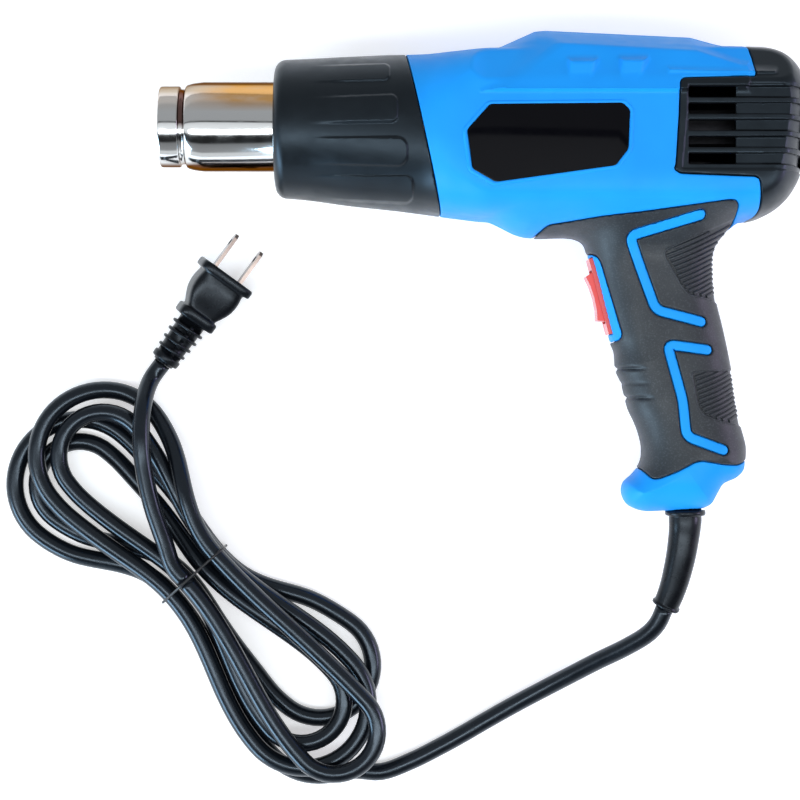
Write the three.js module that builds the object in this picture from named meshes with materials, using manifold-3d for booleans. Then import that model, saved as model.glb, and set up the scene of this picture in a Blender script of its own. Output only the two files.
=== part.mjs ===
// Corded hot air tool lying on its right flank: nozzle to -X, handle to -Y, left flank up to +Z.
// Millimetres. The gun is drawn round its barrel axis, with x = 0 where the nose shroud meets the housing.
import * as THREE from 'three';
import { mergeVertices } from 'three/addons/utils/BufferGeometryUtils.js';
import Module from 'manifold-3d';

const wasm = await Module();
wasm.setup();

// Clearances
const gap = 0.3;
const seamGap = 0.3;
const runGap = 0.08;

// Housing shell
const wall = 2.5;
const bodyHalfWidth = 38.4;
const flankHalf = 37.6;
const bodyTop = 31;
const bodyBottom = -38;
const bodyLength = 138;
const humpHalfWidth = 20;
const humpCrownHalf = 13;
const skin = 1.9;
const shellSides = 20;
const gripSides = 14;
const hollowSides = 10;
const roundSides = 24;
const holeSides = 8;
const far = 400;

// Nose shroud and its slanted seam
const shroudLength = 60.7;
const shroudRadius = 28.6;
const shroudDrop = 0.8;
const shroudMouth = 19.6;
const seamSlope = 0.2194;

// Nozzle tube
const nozzleShow = 46.4;
const nozzleRadius = 18.2;
const nozzleWall = 0.8;
const collarRadius = 16.5;
const collarLength = 9;
const grooveWidth = 2.4;
const grooveRadius = 15.6;
const shoulderLength = 7.4;

// Heater
const sleeveWall = 0.5;
const sleeveSetback = 20;
const finRadius = 10.8;
const finThick = 1.2;
const coilWire = 0.6;
const coilTurns = 10;
const coilSteps = 8;
const coilSides = 5;
const baseThick = 2;
const cutoutRadius = 4.5;
const cutoutThick = 4;

// Flange joint between nozzle tube and air duct
const flangeRadius = 24;
const flangeX = 1.2;
const flangeThick = 0.8;
const clampRingThick = 2;
const ductFlangeThick = 2;
const flangeScrewCircle = 21.4;
const flangeScrewRadius = 1;
const flangeScrewHead = 1.9;
const flangeScrewHeadThick = 1.6;
const flangeScrewCount = 3;

// Air duct, fan and motor
const ductInner = 24;
const ductWall = 1.5;
const ductConeEnd = 36;
const ductEnd = 92;
const ductRibThick = 2;
const ductRibStations = [42, 83];
const fanStart = 66;
const fanDepth = 14;
const fanHub = 8;
const fanBlades = 7;
const bladeThick = 1.2;
const bladePitch = 35;
const fanTipGap = 0.9;
const mountThick = 2;
const mountRing = 2.2;
const mountHub = 9;
const mountHole = 4;
const mountArm = 3;
const motorRadius = 17.5;
const motorLength = 41;
const canWall = 1.2;
const bushRadius = 3;
const bushLength = 4;
const shaftRadius = 1.5;
const armatureRadius = 10.8;
const armatureLength = 26;
const commutatorRadius = 5;
const commutatorLength = 5;
const magnetThick = 4;
const armatureInset = 6;
const magnetSpan = 110;
const bellThick = 4;
const bellHub = 6;
const bellHubLength = 2.7;
const boardRadius = 12;
const boardThick = 1.6;
const diodeRadius = 1.5;
const diodeLength = 5;

// Label plates
const labelThick = 0.9;
const labelRecess = labelThick + gap;
const lipRise = 0.4;
const lipWidth = 1.3;

// Intake slots in the rear cap
const slotCount = 5;
const slotPitch = 6.55;
const slotHeight = 4.3;
const slotFront = 104.6;
const slotBack = 123.3;
const slotTopY = 9.2;

// Rocker switch, in its own frame: +X out of the handle, +Y down the handle
const switchX = 72.7;
const switchY = -69.6;
const switchTilt = 194.8;
const frameHalfLength = 15.85;
const frameHalfWidth = 7;
const frameProud = 0.5;
const frameThick = 2.1;
const rockerHalfLength = 10.4;
const rockerHalfWidth = 5.5;
const rockerProud = 3.4;
const rockerDish = 2.2;
const rockerDepth = 5.5;
const windowGap = 0.8;
const bezelWidth = 2.2;
const bezelDepth = 3.6;
const switchBodyLength = 27;
const switchBodyDepth = 20;
const pocketDepth = 7;
const terminalCount = 3;
const terminalPitch = 8;
const terminalLength = 8;
const terminalWidth = 4.8;
const terminalThick = 0.8;

// Accent ridges that fill the windows of the overmould
const ridgeWidth = 3.6;
const ridgeInner = 5;

// Screws that join the half shells
const bossRadius = 4.2;
const bossSides = 6;
const screwHeadRadius = 2.8;
const screwHeadThick = 2;
const screwShank = 1.25;
const screwSeat = 12;
const screwReach = 8;

// Cord, strain relief and cord clamp
const cordRadius = 3.7;
const cordSides = 8;
const cordExitX = 108.2;
const pommelFloor = -151;
const pommelEnd = -157;
const sleeveFlange = 8.4;
const sleeveFlangeThick = 2;
const sleeveNeck = 6.7;
const shoulderRing = 7.6;
const shoulderRingThick = 2;
const stubLength = 15;
const clampY = -141;
const clampWidth = 6;
const clampThick = 3;
const clampScrewOffset = 7.6;
const clampScrewShank = 1;
const clampScrewBite = 9;
const clampHoleDeep = 7;
const clampHoleTop = 10;
const clampScrewHead = 2;
const clampScrewHeadThick = 1.6;
const postRadius = 2.7;
const wireRadius = 0.9;

// Hank: loops drawn in at the waist, in three layers that lean apart
const hankTieX = -95.9;
const hankTieY = -185.7;
const hankAngle = -48;
// Each fold: how far its centre is from the tie, its radius, and the degrees that it leans
const hankFolds = [
  [79, 27, 0],
  [62, 27.6, 10],
  [66, 22.4, 12],
  [62, 18.2, 10],
  [70, 18, -1],
  [63, 18.6, -5],
  [72, 26.8, -1],
  [63, 28, -5],
  [88, 18, 1],
];
// Where each pass crosses the tie, and the turns over which the cord climbs a layer
const hankPasses = [-12.8, 13.6, -3, 5.5, -3.4, 13.9, -12.2, 13.9, -2.9];
const hankClimbs = [[1.65, 1.83], [3.63, 3.7]];
const hankLeanReach = 50;
// Where the topmost upper fold sinks towards the floor beneath the tail
const hankDipDepth = 7;
const hankDipTurn = 3.58;
const hankDipSpread = 0.05;
const hankLayer = 8.1;
const hankLift = 0.6;
const hankSteps = 24;
const hankFirstStep = 1;
const hankLastStep = 102;
const hankSides = 6;
const tieRadius = 0.6;
const tieSteps = 20;

// Plug, in its own frame: +X towards the blade tips
const plugX = -81.5;
const plugY = -58.4;
const plugZ = 9.2;
const plugAngle = 54;
const plugRoll = 14;
const ribCount = 5;
const ribPitch = 4.1;
const ribWidth = 1.9;
const ribCore = 5;
const ribFirst = 7.7;
const ribLast = 6.3;
const bladeSpacing = 12.7;
const bladeLength = 15.9;
const bladeWidth = 6.35;
const pinThick = 1.5;
const bladeRoot = 6;
const bladeHole = 1.6;

// Finishes
const finishes = {
  blue: { color: 0x2a90ee, roughness: 0.42, metalness: 0 },
  black: { color: 0x1c1e22, roughness: 0.5, metalness: 0 },
  rubber: { color: 0x33373d, roughness: 0.8, metalness: 0 },
  gloss: { color: 0x0c0d10, roughness: 0.12, metalness: 0 },
  red: { color: 0xe0474a, roughness: 0.4, metalness: 0 },
  chrome: { color: 0xc9c5c0, roughness: 0.12, metalness: 1 },
  steel: { color: 0x9a9da1, roughness: 0.35, metalness: 1 },
  brass: { color: 0xc49a45, roughness: 0.35, metalness: 1 },
  copper: { color: 0xb06a3c, roughness: 0.4, metalness: 1 },
  mica: { color: 0xb9a27a, roughness: 0.7, metalness: 0 },
  magnet: { color: 0x2e2f33, roughness: 0.6, metalness: 0.3 },
  duct: { color: 0x8a8578, roughness: 0.6, metalness: 0 },
  board: { color: 0x2c6b3c, roughness: 0.5, metalness: 0 },
  cord: { color: 0x16181d, roughness: 0.35, metalness: 0 },
};
const materials = {};
for (const [name, finish] of Object.entries(finishes)) {
  materials[name] = new THREE.MeshStandardMaterial(finish);
}

// Solid helpers
function outward(geometry) {
  const position = geometry.getAttribute('position');
  const index = geometry.index.array;
  const corner = [new THREE.Vector3(), new THREE.Vector3(), new THREE.Vector3()];
  let volume = 0;
  for (let i = 0; i < index.length; i += 3) {
    corner.forEach((point, k) => point.fromBufferAttribute(position, index[i + k]));
    volume += corner[0].dot(corner[1].clone().cross(corner[2]));
  }
  if (volume < 0) {
    const flipped = Array.from(index);
    for (let i = 0; i < flipped.length; i += 3) {
      flipped[i + 1] = index[i + 2];
      flipped[i + 2] = index[i + 1];
    }
    geometry.setIndex(flipped);
  }
  return geometry;
}

function welded(geometry) {
  const bare = geometry.clone();
  bare.deleteAttribute('normal');
  bare.deleteAttribute('uv');
  const merged = mergeVertices(bare, 1e-4);
  const index = merged.index.array;
  const kept = [];
  for (let i = 0; i < index.length; i += 3) {
    const corners = new Set([index[i], index[i + 1], index[i + 2]]);
    if (corners.size === 3) {
      kept.push(index[i], index[i + 1], index[i + 2]);
    }
  }
  merged.setIndex(kept);
  return outward(merged);
}

function solid(geometry) {
  const closed = welded(geometry);
  return new wasm.Manifold(new wasm.Mesh({
    numProp: 3,
    vertProperties: new Float32Array(closed.getAttribute('position').array),
    triVerts: new Uint32Array(closed.index.array),
  }));
}

function shape(body) {
  const mesh = body.getMesh();
  const geometry = new THREE.BufferGeometry();
  geometry.setAttribute('position', new THREE.BufferAttribute(new Float32Array(mesh.vertProperties), 3));
  geometry.setIndex(Array.from(mesh.triVerts));
  geometry.computeVertexNormals();
  return geometry;
}

function joined(bodies) {
  return bodies.reduce((sum, body) => sum.add(body));
}

// Joins ring to ring; the ends are capped, or meet where the run is a closed one.
function loft(rings, closed = false) {
  const count = rings[0].length;
  const total = rings.length * count;
  const positions = [];
  rings.forEach((ring) => ring.forEach((point) => positions.push(point.x, point.y, point.z)));
  const index = [];
  const spans = closed ? rings.length : rings.length - 1;
  for (let r = 0; r < spans; r += 1) {
    for (let k = 0; k < count; k += 1) {
      const a = r * count + k;
      const b = r * count + ((k + 1) % count);
      const c = (b + count) % total;
      const d = (a + count) % total;
      index.push(a, b, c, a, c, d);
    }
  }
  const last = total - count;
  for (let k = 1; k + 1 < count && !closed; k += 1) {
    index.push(0, k + 1, k);
    index.push(last, last + k, last + k + 1);
  }
  const geometry = new THREE.BufferGeometry();
  geometry.setAttribute('position', new THREE.BufferAttribute(new Float32Array(positions), 3));
  geometry.setIndex(index);
  return outward(geometry);
}

function oval(count, halfA, halfB, power, place) {
  const ring = [];
  for (let k = 0; k < count; k += 1) {
    const angle = (2 * Math.PI * k) / count;
    const c = Math.cos(angle);
    const s = Math.sin(angle);
    const a = halfA * Math.sign(c) * Math.abs(c) ** (2 / power);
    const b = halfB * Math.sign(s) * Math.abs(s) ** (2 / power);
    ring.push(place(a, b));
  }
  return ring;
}

function turned(profile, sides) {
  const points = profile.map(([x, r]) => new THREE.Vector2(r, x));
  const geometry = new THREE.LatheGeometry(points, sides);
  geometry.rotateZ(-Math.PI / 2);
  return geometry;
}

function rod(radius, from, to, sides) {
  return turned([[from, 0], [from, radius], [to, radius], [to, 0]], sides);
}

function pipe(outer, inner, from, to, sides) {
  return turned([[from, inner], [from, outer], [to, outer], [to, inner], [from, inner]], sides);
}

function prism(outline, from, to) {
  const face = new THREE.Shape(outline.map(([x, y]) => new THREE.Vector2(x, y)));
  const geometry = new THREE.ExtrudeGeometry(face, { depth: to - from, bevelEnabled: false });
  geometry.translate(0, 0, from);
  return geometry;
}

function block(low, high) {
  const geometry = new THREE.BoxGeometry(high[0] - low[0], high[1] - low[1], high[2] - low[2]);
  geometry.translate((low[0] + high[0]) / 2, (low[1] + high[1]) / 2, (low[2] + high[2]) / 2);
  return geometry;
}

function post(x, y, radius, from, to, sides) {
  const geometry = new THREE.CylinderGeometry(radius, radius, to - from, sides);
  geometry.rotateX(Math.PI / 2);
  geometry.translate(x, y, (from + to) / 2);
  return geometry;
}

// Moves each edge of a closed outline outwards by a distance.
function widened(outline, distance) {
  const area = outline.reduce((sum, [x, y], i) => {
    const [nx, ny] = outline[(i + 1) % outline.length];
    return sum + x * ny - nx * y;
  }, 0);
  const side = Math.sign(area);
  return outline.map((point, i) => {
    const before = outline[(i + outline.length - 1) % outline.length];
    const after = outline[(i + 1) % outline.length];
    const first = new THREE.Vector2(point[1] - before[1], before[0] - point[0]).normalize();
    const second = new THREE.Vector2(after[1] - point[1], point[0] - after[0]).normalize();
    const middle = first.clone().add(second).normalize();
    const reach = (side * distance) / Math.max(middle.dot(first), 0.4);
    return [point[0] + middle.x * reach, point[1] + middle.y * reach];
  });
}

// Outline of a strip of even width along a line of points, with blunt round ends.
function stripOutline(line, width) {
  const half = width / 2;
  const directions = line.slice(1).map(([x, y], i) => Math.atan2(y - line[i][1], x - line[i][0]));
  const left = [];
  const right = [];
  line.forEach(([x, y], i) => {
    const before = directions[Math.max(i - 1, 0)];
    const after = directions[Math.min(i, directions.length - 1)];
    const middle = (before + after) / 2 + Math.PI / 2;
    const reach = half / Math.cos((after - before) / 2);
    left.push([x + reach * Math.cos(middle), y + reach * Math.sin(middle)]);
    right.unshift([x - reach * Math.cos(middle), y - reach * Math.sin(middle)]);
  });
  const cap = ([x, y], direction) => [Math.PI / 6, -Math.PI / 6].map((turn) => {
    return [x + half * Math.cos(direction + turn), y + half * Math.sin(direction + turn)];
  });
  const tip = cap(line[line.length - 1], directions[directions.length - 1]);
  const tail = cap(line[0], directions[0] + Math.PI);
  return [...left, ...tip, ...right, ...tail];
}

// Body lofted along the barrel axis
const tailOutline = [
  { back: 5, topDrop: 0.6, bottomRise: 3.6, flankDrop: 1.5 },
  { back: 10, topDrop: 2.6, bottomRise: 8, flankDrop: 4 },
  { back: 14.8, topDrop: 5.2, bottomRise: 17.5, flankDrop: 9 },
  { back: 17.2, topDrop: 9, bottomRise: 26, flankDrop: 13.5 },
  { back: 19.3, topDrop: 16, bottomRise: 34, flankDrop: 19 },
];
const tailLength = tailOutline[tailOutline.length - 1].back;
const tailEnd = bodyLength + tailLength;

function bodyStations() {
  const stations = [
    { x: -shroudLength, cut: 5, power: 2 },
    { x: -shroudLength + 1.3, cut: 2, power: 2 },
    { x: -shroudLength + 5, cut: 0, power: 2 },
  ].map(({ x, cut, power }) => ({
    x,
    top: shroudRadius - shroudDrop - cut,
    bottom: -shroudRadius - shroudDrop + cut,
    half: shroudRadius - cut,
    power,
  }));
  const half = bodyHalfWidth;
  stations.push({ x: 0, top: bodyTop - 1.4, bottom: bodyBottom + 2.6, half: half - 4.4, power: 2.3 });
  stations.push({ x: 14, top: bodyTop - 0.6, bottom: bodyBottom + 1, half: half - 1.4, power: 3 });
  stations.push({ x: 28, top: bodyTop, bottom: bodyBottom, half, power: 3.8 });
  stations.push({ x: bodyLength - 20, top: bodyTop + 0.9, bottom: bodyBottom - 0.6, half, power: 3.8 });
  const tail = { x: bodyLength, top: bodyTop + 0.8, bottom: bodyBottom - 0.4, half: half - 0.8, power: 3 };
  stations.push(tail);
  for (const step of tailOutline) {
    stations.push({
      x: tail.x + step.back,
      top: tail.top - step.topDrop,
      bottom: tail.bottom + step.bottomRise,
      half: tail.half - step.flankDrop,
      power: tail.power,
    });
  }
  return stations;
}

function bodyLoft(inset, sides) {
  const rings = bodyStations().map(({ x, top, bottom, half, power }) => {
    const middle = (top + bottom) / 2;
    const place = (a, b) => new THREE.Vector3(x, middle + a, b);
    return oval(sides, (top - bottom) / 2 - inset, half - inset, power, place);
  });
  const whole = solid(loft(rings));
  const flank = flankHalf - inset;
  return whole.intersect(solid(block([-shroudLength + inset, -far, -flank], [tailEnd - inset, far, flank])));
}

// Raised spine along the top of the body
function humpLoft(inset) {
  const crest = [[28, 30], [46, 38.6], [50, 39.3], [108.6, 36.8], [121, 33], [124, 30]];
  const rings = crest.map(([x, y]) => {
    const top = y - inset;
    const side = humpHalfWidth - inset;
    const crown = humpCrownHalf - inset / 2;
    const outline = [[-side, 20], [-side, top - 6], [-crown, top], [crown, top], [side, top - 6], [side, 20]];
    return outline.map(([z, height]) => new THREE.Vector3(x, height, z));
  });
  return solid(loft(rings));
}

// Handle lofted downwards: height, front edge, rear edge and half thickness
const gripOutline = [
  [-28, 31, 131, 28],
  [-40, 32, 127.5, 26],
  [-45.3, 43, 124, 23],
  [-46.2, 62, 122.8, 22],
  [-49.5, 67, 120.2, 21],
  [-56, 69, 119, 19.5],
  [-70.8, 72.9, 120.2, 18.5],
  [-92, 79, 124.8, 18.5],
  [-100, 79.9, 126.6, 18.5],
  [-108, 83.4, 127.8, 18.5],
  [-116, 85.7, 129, 18.8],
  [-131.7, 90.4, 132.3, 19.6],
  [-139.4, 88.9, 131.9, 20.2],
  [-144.9, 83.2, 126, 20.5],
  [-151.8, 82.9, 120.3, 20],
  [pommelEnd, 92, 115, 14],
];

function gripLoft(inset, sides) {
  const rings = gripOutline.map(([y, front, rear, half]) => {
    const middle = (front + rear) / 2;
    const place = (a, b) => new THREE.Vector3(middle + a, y, b);
    return oval(sides, (rear - front) / 2 - inset, half - inset, 2.5, place);
  });
  return solid(loft(rings));
}

// Regions of the side view
const gripZone = [
  [46.5, -45.8], [51.2, -41.5], [70.7, -38.8], [86.3, -37.2], [123.1, -32.5], [124.7, -33.8], [125.5, -36.3],
  [125.4, -43.3], [150, -60], [150, -135.7], [133.3, -135.7], [127.5, -137.9], [122, -137.7], [112.6, -136.1],
  [110, -136.4], [102.8, -140.3], [95.8, -143.2], [93, -143.5], [88.7, -139.1], [60, -130], [40, -60],
];
const capZone = [
  [131.6, 31.8], [131.2, 15.3], [102.3, 14.6], [101.2, 13.4], [100.9, 1.6], [99.6, -19.4], [98.8, -21.4],
  [101.2, -22.9], [132.2, -24.1], [132.9, -25.8], [134.1, -36.1], [133.5, -39.5], [133.5, -60], [200, -60],
  [200, 60], [131.6, 60],
];
const labelOutline = [
  [17.8, -5.8], [26.8, 4.3], [78.6, 4.8], [81.6, 1.9], [81, -13.3], [75.9, -19.9], [29.2, -26.4],
  [19.9, -21.1],
];
const accentLines = [
  [[111.7, -37.4], [84.9, -45.4], [93.5, -74.2], [112.5, -80.3]],
  [[115, -91.4], [98.4, -88.5], [104.6, -111.7], [106, -126.5], [121.1, -131.8]],
];
const housingScrews = [[58, 31.5], [100, 31.5], [20, -31.5], [52, -38], [118.5, -42], [93, -100], [98, -133]];

// Shared solids of the shell
const outer = joined([bodyLoft(0, shellSides), humpLoft(0), gripLoft(0, gripSides)]);
const core = bodyLoft(skin + gap, shellSides).add(gripLoft(skin + gap, gripSides));
const bodyHollow = bodyLoft(wall, hollowSides).add(humpLoft(wall));
const midBody = bodyLoft(wall / 2, hollowSides).add(humpLoft(wall / 2));
const midWall = midBody.add(gripLoft(skin + gap + wall / 2, hollowSides));
const aboveFloor = solid(block([-far, pommelFloor, -far], [far, far, far]));
const hollow = bodyHollow.add(gripLoft(skin + gap + wall, hollowSides).intersect(aboveFloor));
const noseSide = [[-far, -far], [-far, far], [-seamSlope * far, far], [seamSlope * far, -far]];
const tailSide = [[far, -far], [far, far], [-seamSlope * far, far], [seamSlope * far, -far]];
const ahead = solid(prism(widened(noseSide, -seamGap / 2), -far, far));
const behind = solid(prism(widened(tailSide, -seamGap / 2), -far, far));

function switchPlaced(geometry) {
  geometry.rotateZ(THREE.MathUtils.degToRad(switchTilt));
  geometry.translate(switchX, switchY, 0);
  return geometry;
}

function switchBlock(low, high) {
  return solid(switchPlaced(block(low, high)));
}

function recess([x, y]) {
  return solid(post(x, y, screwHeadRadius + 0.4, -far, -screwSeat, holeSides));
}

function mirrored(geometry) {
  const copy = geometry.clone();
  copy.scale(1, 1, -1);
  return copy;
}

// Both sides of something drawn for the left flank
function bothSides(geometry) {
  return solid(geometry).add(solid(mirrored(geometry)));
}

function ridgeSolids(width) {
  return joined(accentLines.map((line) => bothSides(prism(stripOutline(line, width), ridgeInner, far))));
}

function housingShell() {
  const bezelHalf = [frameHalfLength + bezelWidth, frameHalfWidth + bezelWidth + 0.6];
  const bezel = switchBlock([-bezelDepth - 6, -bezelHalf[0], -bezelHalf[1]], [0, ...bezelHalf]);
  const zone = solid(prism(widened(gripZone, gap), -far, far));
  const coreZone = solid(prism(widened(gripZone, gap + wall), -far, far));
  const lip = prism(widened(labelOutline, gap + lipWidth), flankHalf - 6, flankHalf + lipRise);
  let shell = outer.subtract(zone).add(core.intersect(coreZone)).add(bezel.intersect(outer.add(bezel)));
  shell = shell.add(ridgeSolids(ridgeWidth).intersect(outer));
  shell = shell.add(bothSides(lip));
  shell = shell.subtract(hollow);
  shell = shell.add(ductRibs());
  shell = shell.add(bosses());
  const plateRoom = prism(widened(labelOutline, gap), flankHalf - labelRecess, far);
  shell = shell.subtract(bothSides(plateRoom));
  shell = shell.subtract(switchRoom());
  shell = shell.subtract(solid(prism(widened(capZone, gap / 2), -far, far)));
  shell = shell.subtract(sleeveRoom());
  return shell.intersect(behind);
}

// Half rings that carry the air duct
function ductRibs() {
  const half = ductRibThick / 2;
  const ribs = ductRibStations.map((x) => {
    return solid(block([x - half, bodyBottom + wall, -far], [x + half, bodyTop, far]));
  });
  const roomRadius = (ductInner + ductWall + gap) / Math.cos(Math.PI / hollowSides);
  const ductRoom = solid(rod(roomRadius, -far, far, hollowSides));
  return joined(ribs).intersect(midWall).subtract(ductRoom);
}

function bosses() {
  const columns = housingScrews.map(([x, y]) => solid(post(x, y, bossRadius, -far, far, bossSides)));
  return joined(columns).intersect(midWall);
}

// Room for the switch body, its frame and the rocker
function switchRoom() {
  const side = frameHalfWidth + gap;
  const frame = switchBlock(
    [frameProud - frameThick - gap, -frameHalfLength - gap, -side],
    [far, frameHalfLength + gap, side],
  );
  const half = switchBodyLength / 2 + gap;
  const body = switchBlock([-switchBodyDepth, -half, -side], [0, half, side]);
  return frame.add(body);
}

function sleeveRoom() {
  const neck = new THREE.CylinderGeometry(sleeveNeck + gap, sleeveNeck + gap, 20, 16);
  neck.translate(cordExitX, pommelEnd + 2, 0);
  const seat = sleeveFlange + gap;
  const room = new THREE.CylinderGeometry(seat, seat, sleeveFlangeThick + 3, 16);
  room.translate(cordExitX, pommelFloor + (sleeveFlangeThick + 3) / 2, 0);
  return solid(neck).add(solid(room));
}

const group = new THREE.Group();
const gun = new THREE.Group();
const cordGroup = new THREE.Group();
group.add(gun, cordGroup);

function addTo(parent, name, geometry, finish) {
  const mesh = new THREE.Mesh(geometry, materials[finish]);
  mesh.name = name;
  parent.add(mesh);
  return mesh;
}

function screw(shank, length, head, headThick) {
  const profile = [[-headThick, 0], [-headThick, head], [0, head], [0, shank], [length, shank], [length, 0]];
  return turned(profile, holeSides);
}

// Half shells with their screws
function addHousing() {
  const shell = housingShell();
  const upper = solid(block([-far, -far, seamGap / 2], [far, far, far]));
  const lower = solid(block([-far, -far, -far], [far, far, -seamGap / 2]));
  const pilots = joined(housingScrews.map(([x, y]) => {
    return solid(post(x, y, screwShank + gap, -screwSeat - 1, screwReach + gap, holeSides));
  }));
  const wells = joined(housingScrews.map(recess));
  addTo(gun, 'housing_left', shape(shell.intersect(upper).subtract(pilots)), 'blue');
  const posts = joined([-1, 1].map((side) => {
    return solid(post(cordExitX + side * clampScrewOffset, clampY, postRadius, -far, cordRadius, 12));
  }));
  const postCore = posts.intersect(core.add(solid(block([-far, -far, -1], [far, far, far]))));
  const holes = joined([-1, 1].map((side) => {
    const bore = clampScrewShank + gap;
    return solid(post(cordExitX + side * clampScrewOffset, clampY, bore, -clampHoleDeep, clampHoleTop, 10));
  }));
  const right = shell.intersect(lower).add(postCore).subtract(pilots).subtract(wells).subtract(holes);
  addTo(gun, 'housing_right', shape(right), 'blue');
  housingScrews.forEach(([x, y], i) => {
    const pin = screw(screwShank, screwSeat + screwReach, screwHeadRadius, screwHeadThick);
    const mesh = addTo(gun, `housing_screw_${i + 1}`, pin, 'steel');
    mesh.rotation.y = -Math.PI / 2;
    mesh.position.set(x, y, -screwSeat - gap);
  });
}

function addShroudAndCap() {
  const mouth = solid(rod(shroudMouth, -far, far, roundSides));
  const shell = bodyLoft(0, shellSides).subtract(bodyLoft(wall, hollowSides));
  addTo(gun, 'nose_shroud', shape(shell.intersect(ahead).subtract(mouth)), 'black');
  let cap = shell.intersect(solid(prism(widened(capZone, -gap / 2), -far, far)));
  for (let i = 0; i < slotCount; i += 1) {
    const y = slotTopY - i * slotPitch;
    const slot = block([slotFront, y - slotHeight / 2, motorRadius], [slotBack, y + slotHeight / 2, far]);
    cap = cap.subtract(bothSides(slot));
  }
  addTo(gun, 'rear_cap', shape(cap), 'black');
}

function addLabels() {
  const low = flankHalf - labelThick;
  for (const [name, side] of [['label_plate_left', 1], ['label_plate_right', -1]]) {
    const plate = prism(labelOutline, low, low + labelThick);
    addTo(gun, name, shape(solid(side > 0 ? plate : mirrored(plate))), 'gloss');
  }
}

function addGrips() {
  const zone = solid(prism(gripZone, -far, far));
  const rubber = outer.intersect(zone).subtract(bodyLoft(skin, shellSides).add(gripLoft(skin, gripSides)));
  const bezelRoom = switchBlock(
    [-bezelDepth - 6, -frameHalfLength - bezelWidth - gap, -frameHalfWidth - bezelWidth - 0.6 - gap],
    [far, frameHalfLength + bezelWidth + gap, frameHalfWidth + bezelWidth + 0.6 + gap],
  );
  const cut = rubber.subtract(ridgeSolids(ridgeWidth + 2 * gap)).subtract(bezelRoom);
  const upper = solid(block([-far, -far, seamGap / 2], [far, far, far]));
  const lower = solid(block([-far, -far, -far], [far, far, -seamGap / 2]));
  addTo(gun, 'grip_left', shape(cut.intersect(upper)), 'rubber');
  addTo(gun, 'grip_right', shape(cut.intersect(lower).subtract(joined(housingScrews.map(recess)))), 'rubber');
}

// Nozzle tube with its collar, groove, shoulder and rear flange
function addNozzle() {
  const mouthX = -shroudLength - nozzleShow;
  const grooveX = mouthX + collarLength;
  const shoulderX = grooveX + grooveWidth;
  const tubeX = shoulderX + shoulderLength;
  const inner = nozzleRadius - nozzleWall;
  const flangeBack = flangeX + flangeThick;
  const profile = [
    [mouthX, collarRadius - nozzleWall],
    [mouthX, collarRadius - 0.3],
    [mouthX + 0.5, collarRadius],
    [grooveX, collarRadius],
    [grooveX + 0.2, grooveRadius],
    [shoulderX - 0.2, grooveRadius],
    [shoulderX, grooveRadius + 1.3],
    [shoulderX + shoulderLength * 0.4, nozzleRadius - 0.5],
    [tubeX, nozzleRadius],
    [flangeX, nozzleRadius],
    [flangeX, flangeRadius],
    [flangeBack, flangeRadius],
    [flangeBack, inner],
    [tubeX, inner],
    [shoulderX, grooveRadius - nozzleWall],
    [grooveX, grooveRadius - nozzleWall],
    [mouthX, collarRadius - nozzleWall],
  ];
  const holes = flangeHoles();
  addTo(gun, 'nozzle_tube', shape(solid(turned(profile, roundSides)).subtract(holes)), 'chrome');
  const ringFront = flangeX - gap - clampRingThick;
  const ring = solid(pipe(flangeRadius, nozzleRadius + gap, ringFront, flangeX - gap, roundSides));
  addTo(gun, 'tube_flange', shape(ring.subtract(holes)), 'steel');
  for (let i = 0; i < flangeScrewCount; i += 1) {
    const angle = flangeScrewAngle(i);
    const y = flangeScrewCircle * Math.cos(angle);
    const z = flangeScrewCircle * Math.sin(angle);
    const length = clampRingThick + flangeThick + ductFlangeThick + 4 * gap;
    const pin = screw(flangeScrewRadius, length, flangeScrewHead, flangeScrewHeadThick);
    const mesh = addTo(gun, `flange_screw_${i + 1}`, pin, 'steel');
    mesh.position.set(ringFront - gap, y, z);
  }
}

function flangeScrewAngle(i) {
  return (2 * Math.PI * i) / flangeScrewCount + Math.PI / 6;
}

function flangeHoles() {
  const holes = [];
  for (let i = 0; i < flangeScrewCount; i += 1) {
    const angle = flangeScrewAngle(i);
    const hole = rod(flangeScrewRadius + gap, flangeX - 6, flangeX + 8, holeSides);
    hole.translate(0, flangeScrewCircle * Math.cos(angle), flangeScrewCircle * Math.sin(angle));
    holes.push(solid(hole));
  }
  return joined(holes);
}

function addHeater() {
  const sleeveOuter = nozzleRadius - nozzleWall - gap;
  const sleeveInner = sleeveOuter - sleeveWall;
  const front = -shroudLength - nozzleShow + sleeveSetback;
  addTo(gun, 'mica_sleeve', pipe(sleeveOuter, sleeveInner, front, 0, roundSides), 'mica');
  const baseFront = -baseThick - 0.4;
  const baseRadius = sleeveInner - gap;
  let base = solid(rod(baseRadius, baseFront, baseFront + baseThick, 24));
  for (let i = 0; i < 4; i += 1) {
    const angle = (Math.PI / 2) * (i + 0.5);
    const reach = (baseRadius + cutoutRadius) / 2 + 0.6;
    const hole = rod(3.8, baseFront - 1, baseFront + baseThick + 1, 12);
    hole.translate(0, reach * Math.cos(angle), reach * Math.sin(angle));
    base = base.subtract(solid(hole));
  }
  addTo(gun, 'heater_base', shape(base), 'mica');
  const finFront = front + 3;
  const finBack = baseFront - gap;
  const upright = solid(block([finFront, -finRadius, -finThick / 2], [finBack, finRadius, finThick / 2]));
  const across = solid(block([finFront, -finThick / 2, -finRadius], [finBack, finThick / 2, finRadius]));
  addTo(gun, 'heater_core', shape(upright.add(across)), 'mica');
  const coilRadius = finRadius + gap + coilWire;
  const coilFront = finFront + 4;
  const coilLength = finBack - 4 - coilFront;
  addTo(gun, 'heater_coil', coil(coilRadius, coilFront, coilLength), 'copper');
  const cutoutFront = baseFront + baseThick + gap;
  addTo(gun, 'thermal_cutout', rod(cutoutRadius, cutoutFront, cutoutFront + cutoutThick, 16), 'steel');
}

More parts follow.
